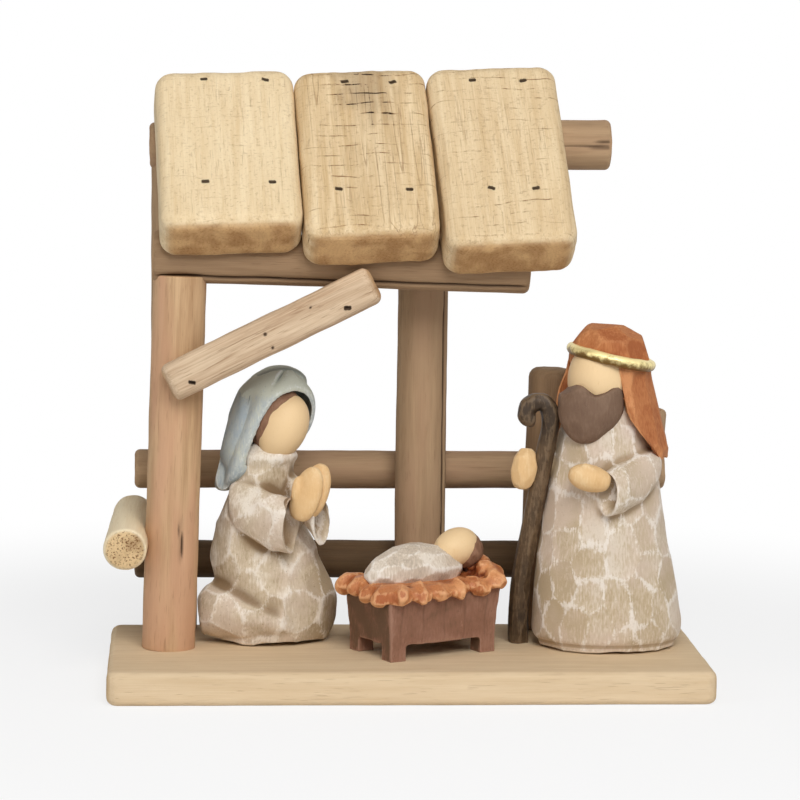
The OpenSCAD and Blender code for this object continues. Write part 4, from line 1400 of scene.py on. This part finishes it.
manger = box_of_planks()
even_skin(manger, voxel=0.4, soften=4)
points, normals = points_of(manger), normals_of(manger)
joint = np.abs((points[:, 0] + 0.6 * lumps(points * 0.2, 2) + PLANK / 2) % PLANK - PLANK / 2)
on_box = fade(points[:, 2], LEG_H, LEG_H + 1) * fade(np.abs(normals[:, 1]), 0.5, 0.8)
groove = np.exp(-((joint / GROOVE) ** 2)) * on_box
worn = 0.3 * lumps(points * (0.25, 0.25, 0.12), 7) - 0.15 * groove
move_to(manger, points + normals * worn[:, None])
keep(manger, "seam", 0.5 * groove)
# Painted shade: the end of the manger that faces left is painted darker.
keep(manger, "facet", 0.55 - 0.5 * fade(-normals[:, 0], 0.4, 0.9))
finish_resin(manger, (manger_place, "manger", "manger_resin"), "manger")

# %% [markdown]
# The straw is a ring of chunky lumps laid over the rim, with a bed inside. Real straw would be
# hundreds of stalks, but here it was carved as chips. One lump is modelled as a squashed ball; its
# copies are turned and placed round the rim, melted together by a remesh and cut into chips.

# %% Straw
STRAW_LUMPS = 19
STRAW_Z = LEG_H + BOX_H


def rim_spot(share):
    """A place round the manger's rim, and the direction outwards."""
    half_l, half_w = MANGER_L / 2 + FLARE, MANGER_W / 2 + FLARE
    way = share * 4 * (half_l + half_w)
    if way < 2 * half_l:
        return (-half_l + way, -half_w), -90
    way -= 2 * half_l
    if way < 2 * half_w:
        return (half_l, -half_w + way), 0
    way -= 2 * half_w
    if way < 2 * half_l:
        return (half_l - way, half_w), 90
    return (-half_l, half_w - (way - 2 * half_l)), 180


def straw_lump(number):
    picker = random.Random(number + 40)
    (x, y), facing = rim_spot((number + 0.5) / STRAW_LUMPS)
    lump = add("lump", bpy.ops.mesh.primitive_ico_sphere_add, subdivisions=3, radius=MM)
    lump.scale = (5.2, 3.7 + 0.7 * picker.random(), 3.0 + 0.6 * picker.random())
    settle(lump)
    turn = (turned(facing + picker.uniform(-25, 25), "Z") @ turned(picker.uniform(5, 28), "Y")
            @ turned(picker.uniform(-20, 20), "X"))
    # The straw is piled up where the head lies.
    pillow = 3.2 * fade(x, 6, 18) + 2.5 * max(0, 1 - math.hypot(x - 19, y - 2) / 12)
    height = STRAW_Z + picker.uniform(-0.6, 1.0) + pillow
    settle(lump, moved((x * 0.97, y * 0.95, height)) @ turn)
    return lump


bed_l, bed_w = MANGER_L - 2 * MANGER_WALL, MANGER_W - 2 * MANGER_WALL
bed = block("bed", (bed_l, bed_w, 6), (0, 0, STRAW_Z))
straw = join("straw_chips", bed, *[straw_lump(number) for number in range(STRAW_LUMPS)])
even_skin(straw, voxel=0.4, soften=3)
carve(straw, cell=4.0, depth=0.5, seed=17)
finish_resin(straw, (manger_place, "straw_bed", "straw_resin"), "straw", rounds=8)

# %% [markdown]
# The infant is a bundle: a loft laid on its side for the swaddled body, an egg for the smooth
# blank head, and dark hair at the back of it. Folds of real cloth would be too fine at this size,
# so the bundle is sliced into small flat facets, as on the real one.

# %% Infant
INFANT = (manger_place, "infant", "swaddle_resin")
HEAD_LEAN = 70
BUNDLE = [
    (-19.8, -24, 0, 1.6, 2), (-19, -24.2, 0, 2.8, 3.2), (-17, -24.8, 0, 4.4, 5),
    (-11, -25.8, 0, 6.8, 7.3), (-4, -26.2, 0, 7.8, 8.5), (3, -25.8, 0, 7.2, 8.1),
    (9, -25.4, 0, 5.6, 6.5), (12.5, -25, 0, 3.6, 4.4),
]
bundle = loft("swaddled_body", BUNDLE)
settle(bundle, turned(90, "Y"))
even_skin(bundle, voxel=0.4, soften=4)
carve(bundle, cell=4.0, depth=0.5, seed=31)
finish_resin(bundle, INFANT, "swaddling")
head = egg("infant_head", (11.2, -0.8, 30.9), 7.5, 5.8, lean=HEAD_LEAN)
finish_resin(head, INFANT, "skin")
hair = egg("infant_hair", (14.8, -0.2, 29.8), 5.8, 6.1, lean=HEAD_LEAN)
even_skin(hair, voxel=0.4, soften=3)
carve(hair, cell=3, depth=0.3, seed=13)
finish_resin(hair, INFANT, "hair")


# %% [markdown]
# The camera stands where the photo was taken from: about a metre in front, a little to the left
# and above, with a long lens. Its direction is given as turns in degrees, and the lens by its
# focal length on a 36 mm sensor. A constraint could aim it, but it couldn't roll it as well.

# %% Camera
CAMERA_AT = (-68.0, -961.0, 206.0)
CAMERA_YAW, CAMERA_PITCH, CAMERA_ROLL = (math.radians(a) for a in (3.89, 7.11, 0.71))
SENSOR = 36.0
FOCAL = 144.8


def aim_camera():
    ahead = Vector((math.sin(CAMERA_YAW) * math.cos(CAMERA_PITCH),
                    math.cos(CAMERA_YAW) * math.cos(CAMERA_PITCH), -math.sin(CAMERA_PITCH)))
    level = Vector((math.cos(CAMERA_YAW), -math.sin(CAMERA_YAW), 0))
    above = level.cross(ahead)
    right = level * math.cos(CAMERA_ROLL) + above * math.sin(CAMERA_ROLL)
    up = above * math.cos(CAMERA_ROLL) - level * math.sin(CAMERA_ROLL)
    turn = Matrix((right, up, -ahead)).transposed().to_4x4()
    return moved(CAMERA_AT) @ turn


camera = add("Camera", bpy.ops.object.camera_add)
camera.data.sensor_width, camera.data.lens = SENSOR, FOCAL
camera.matrix_world = aim_camera()
bpy.context.scene.camera = camera
print("camera at", CAMERA_AT)


# %% [markdown]
# The studio: a wide pale floor, white air behind it, one big soft lamp above the camera and a
# weaker one on each side. The floor glows white by itself where the camera sees it, and only a
# part of it takes light, so the object keeps a soft shadow on a white ground. More light would
# whiten the floor too, but it would bleach the wood.

# %% Floor, air and lamps
WHITE, FLOOR_GREY = (1, 1, 1, 1), (0.9, 0.9, 0.9, 1)
AIM = Vector((0, 0, 0.08))
SHADOW_NEAR, SHADOW_FAR = 150.0, 330.0
AIR_STRENGTH, SHADOW_SHARE = 0.19, 0.25
# Lamp: place in metres, size in metres and power in watts.
LAMPS = {
    "key lamp": ((0.1, -0.9, 0.8), 0.6, 9.5),
    "left fill": ((-0.9, -0.5, 0.45), 0.6, 2.0),
    "right fill": ((0.9, -0.5, 0.45), 0.6, 1.3),
}


def lamp(name, place, size, watts):
    light = add(name, bpy.ops.object.light_add, type="AREA", location=place)
    light.data.size, light.data.energy = size, watts
    light.rotation_euler = (AIM - light.location).to_track_quat("-Z", "Y").to_euler()


def seen(nodes):
    """1 for rays that show the background: straight from the camera or off gloss or glass."""
    camera_ray, glossy, through = (
        nodes.node("ShaderNodeLightPath", output=f"Is {ray} Ray")
        for ray in ("Camera", "Glossy", "Transmission"))
    return camera_ray.math("MAXIMUM", camera_ray.math("MAXIMUM", camera_ray, glossy), through)


def white_air(strength):
    """A soft white light from all around, behind a plain white ground."""
    world = bpy.data.worlds.new("white air")
    world.use_nodes = True
    bpy.context.scene.world = world
    air = Nodes(world.node_tree)
    soft = air.tree.nodes["Background"]
    air.put(soft.inputs["Color"], WHITE)
    air.put(soft.inputs["Strength"], strength)
    white = air.node("ShaderNodeBackground", {}, {"Color": WHITE})
    both = air.node(
        "ShaderNodeMixShader", {}, {0: seen(air), 1: Value(air, soft.outputs[0]), 2: white}
    )
    air.put(air.tree.nodes["World Output"].inputs["Surface"], both)


def white_floor(shadow):
    """A floor that glows white where it is seen, with a share of its shadow near the object."""
    floor = add("floor", bpy.ops.mesh.primitive_plane_add, size=8)
    paint = Paint("white floor")
    paint.finish(FLOOR_GREY, 1.0)
    away = paint.node(
        "ShaderNodeVectorMath", {"operation": "LENGTH"}, {0: paint.place()}, output=1
    )
    near = 1 - away.step(SHADOW_NEAR, SHADOW_FAR)
    share = seen(paint) * (1 - near * shadow)
    matt, glow = Value(paint, paint.shader.outputs[0]), paint.node("ShaderNodeEmission")
    both = paint.node("ShaderNodeMixShader", {}, {0: share, 1: matt, 2: glow})
    paint.put(paint.tree.nodes["Material Output"].inputs["Surface"], both)
    floor.data.materials.append(paint.material)


white_air(AIR_STRENGTH)
white_floor(SHADOW_SHARE)
for name, settings in LAMPS.items():
    lamp(name, *settings)
bpy.context.scene.view_settings.view_transform = "Standard"
print("lamps:", len(LAMPS))
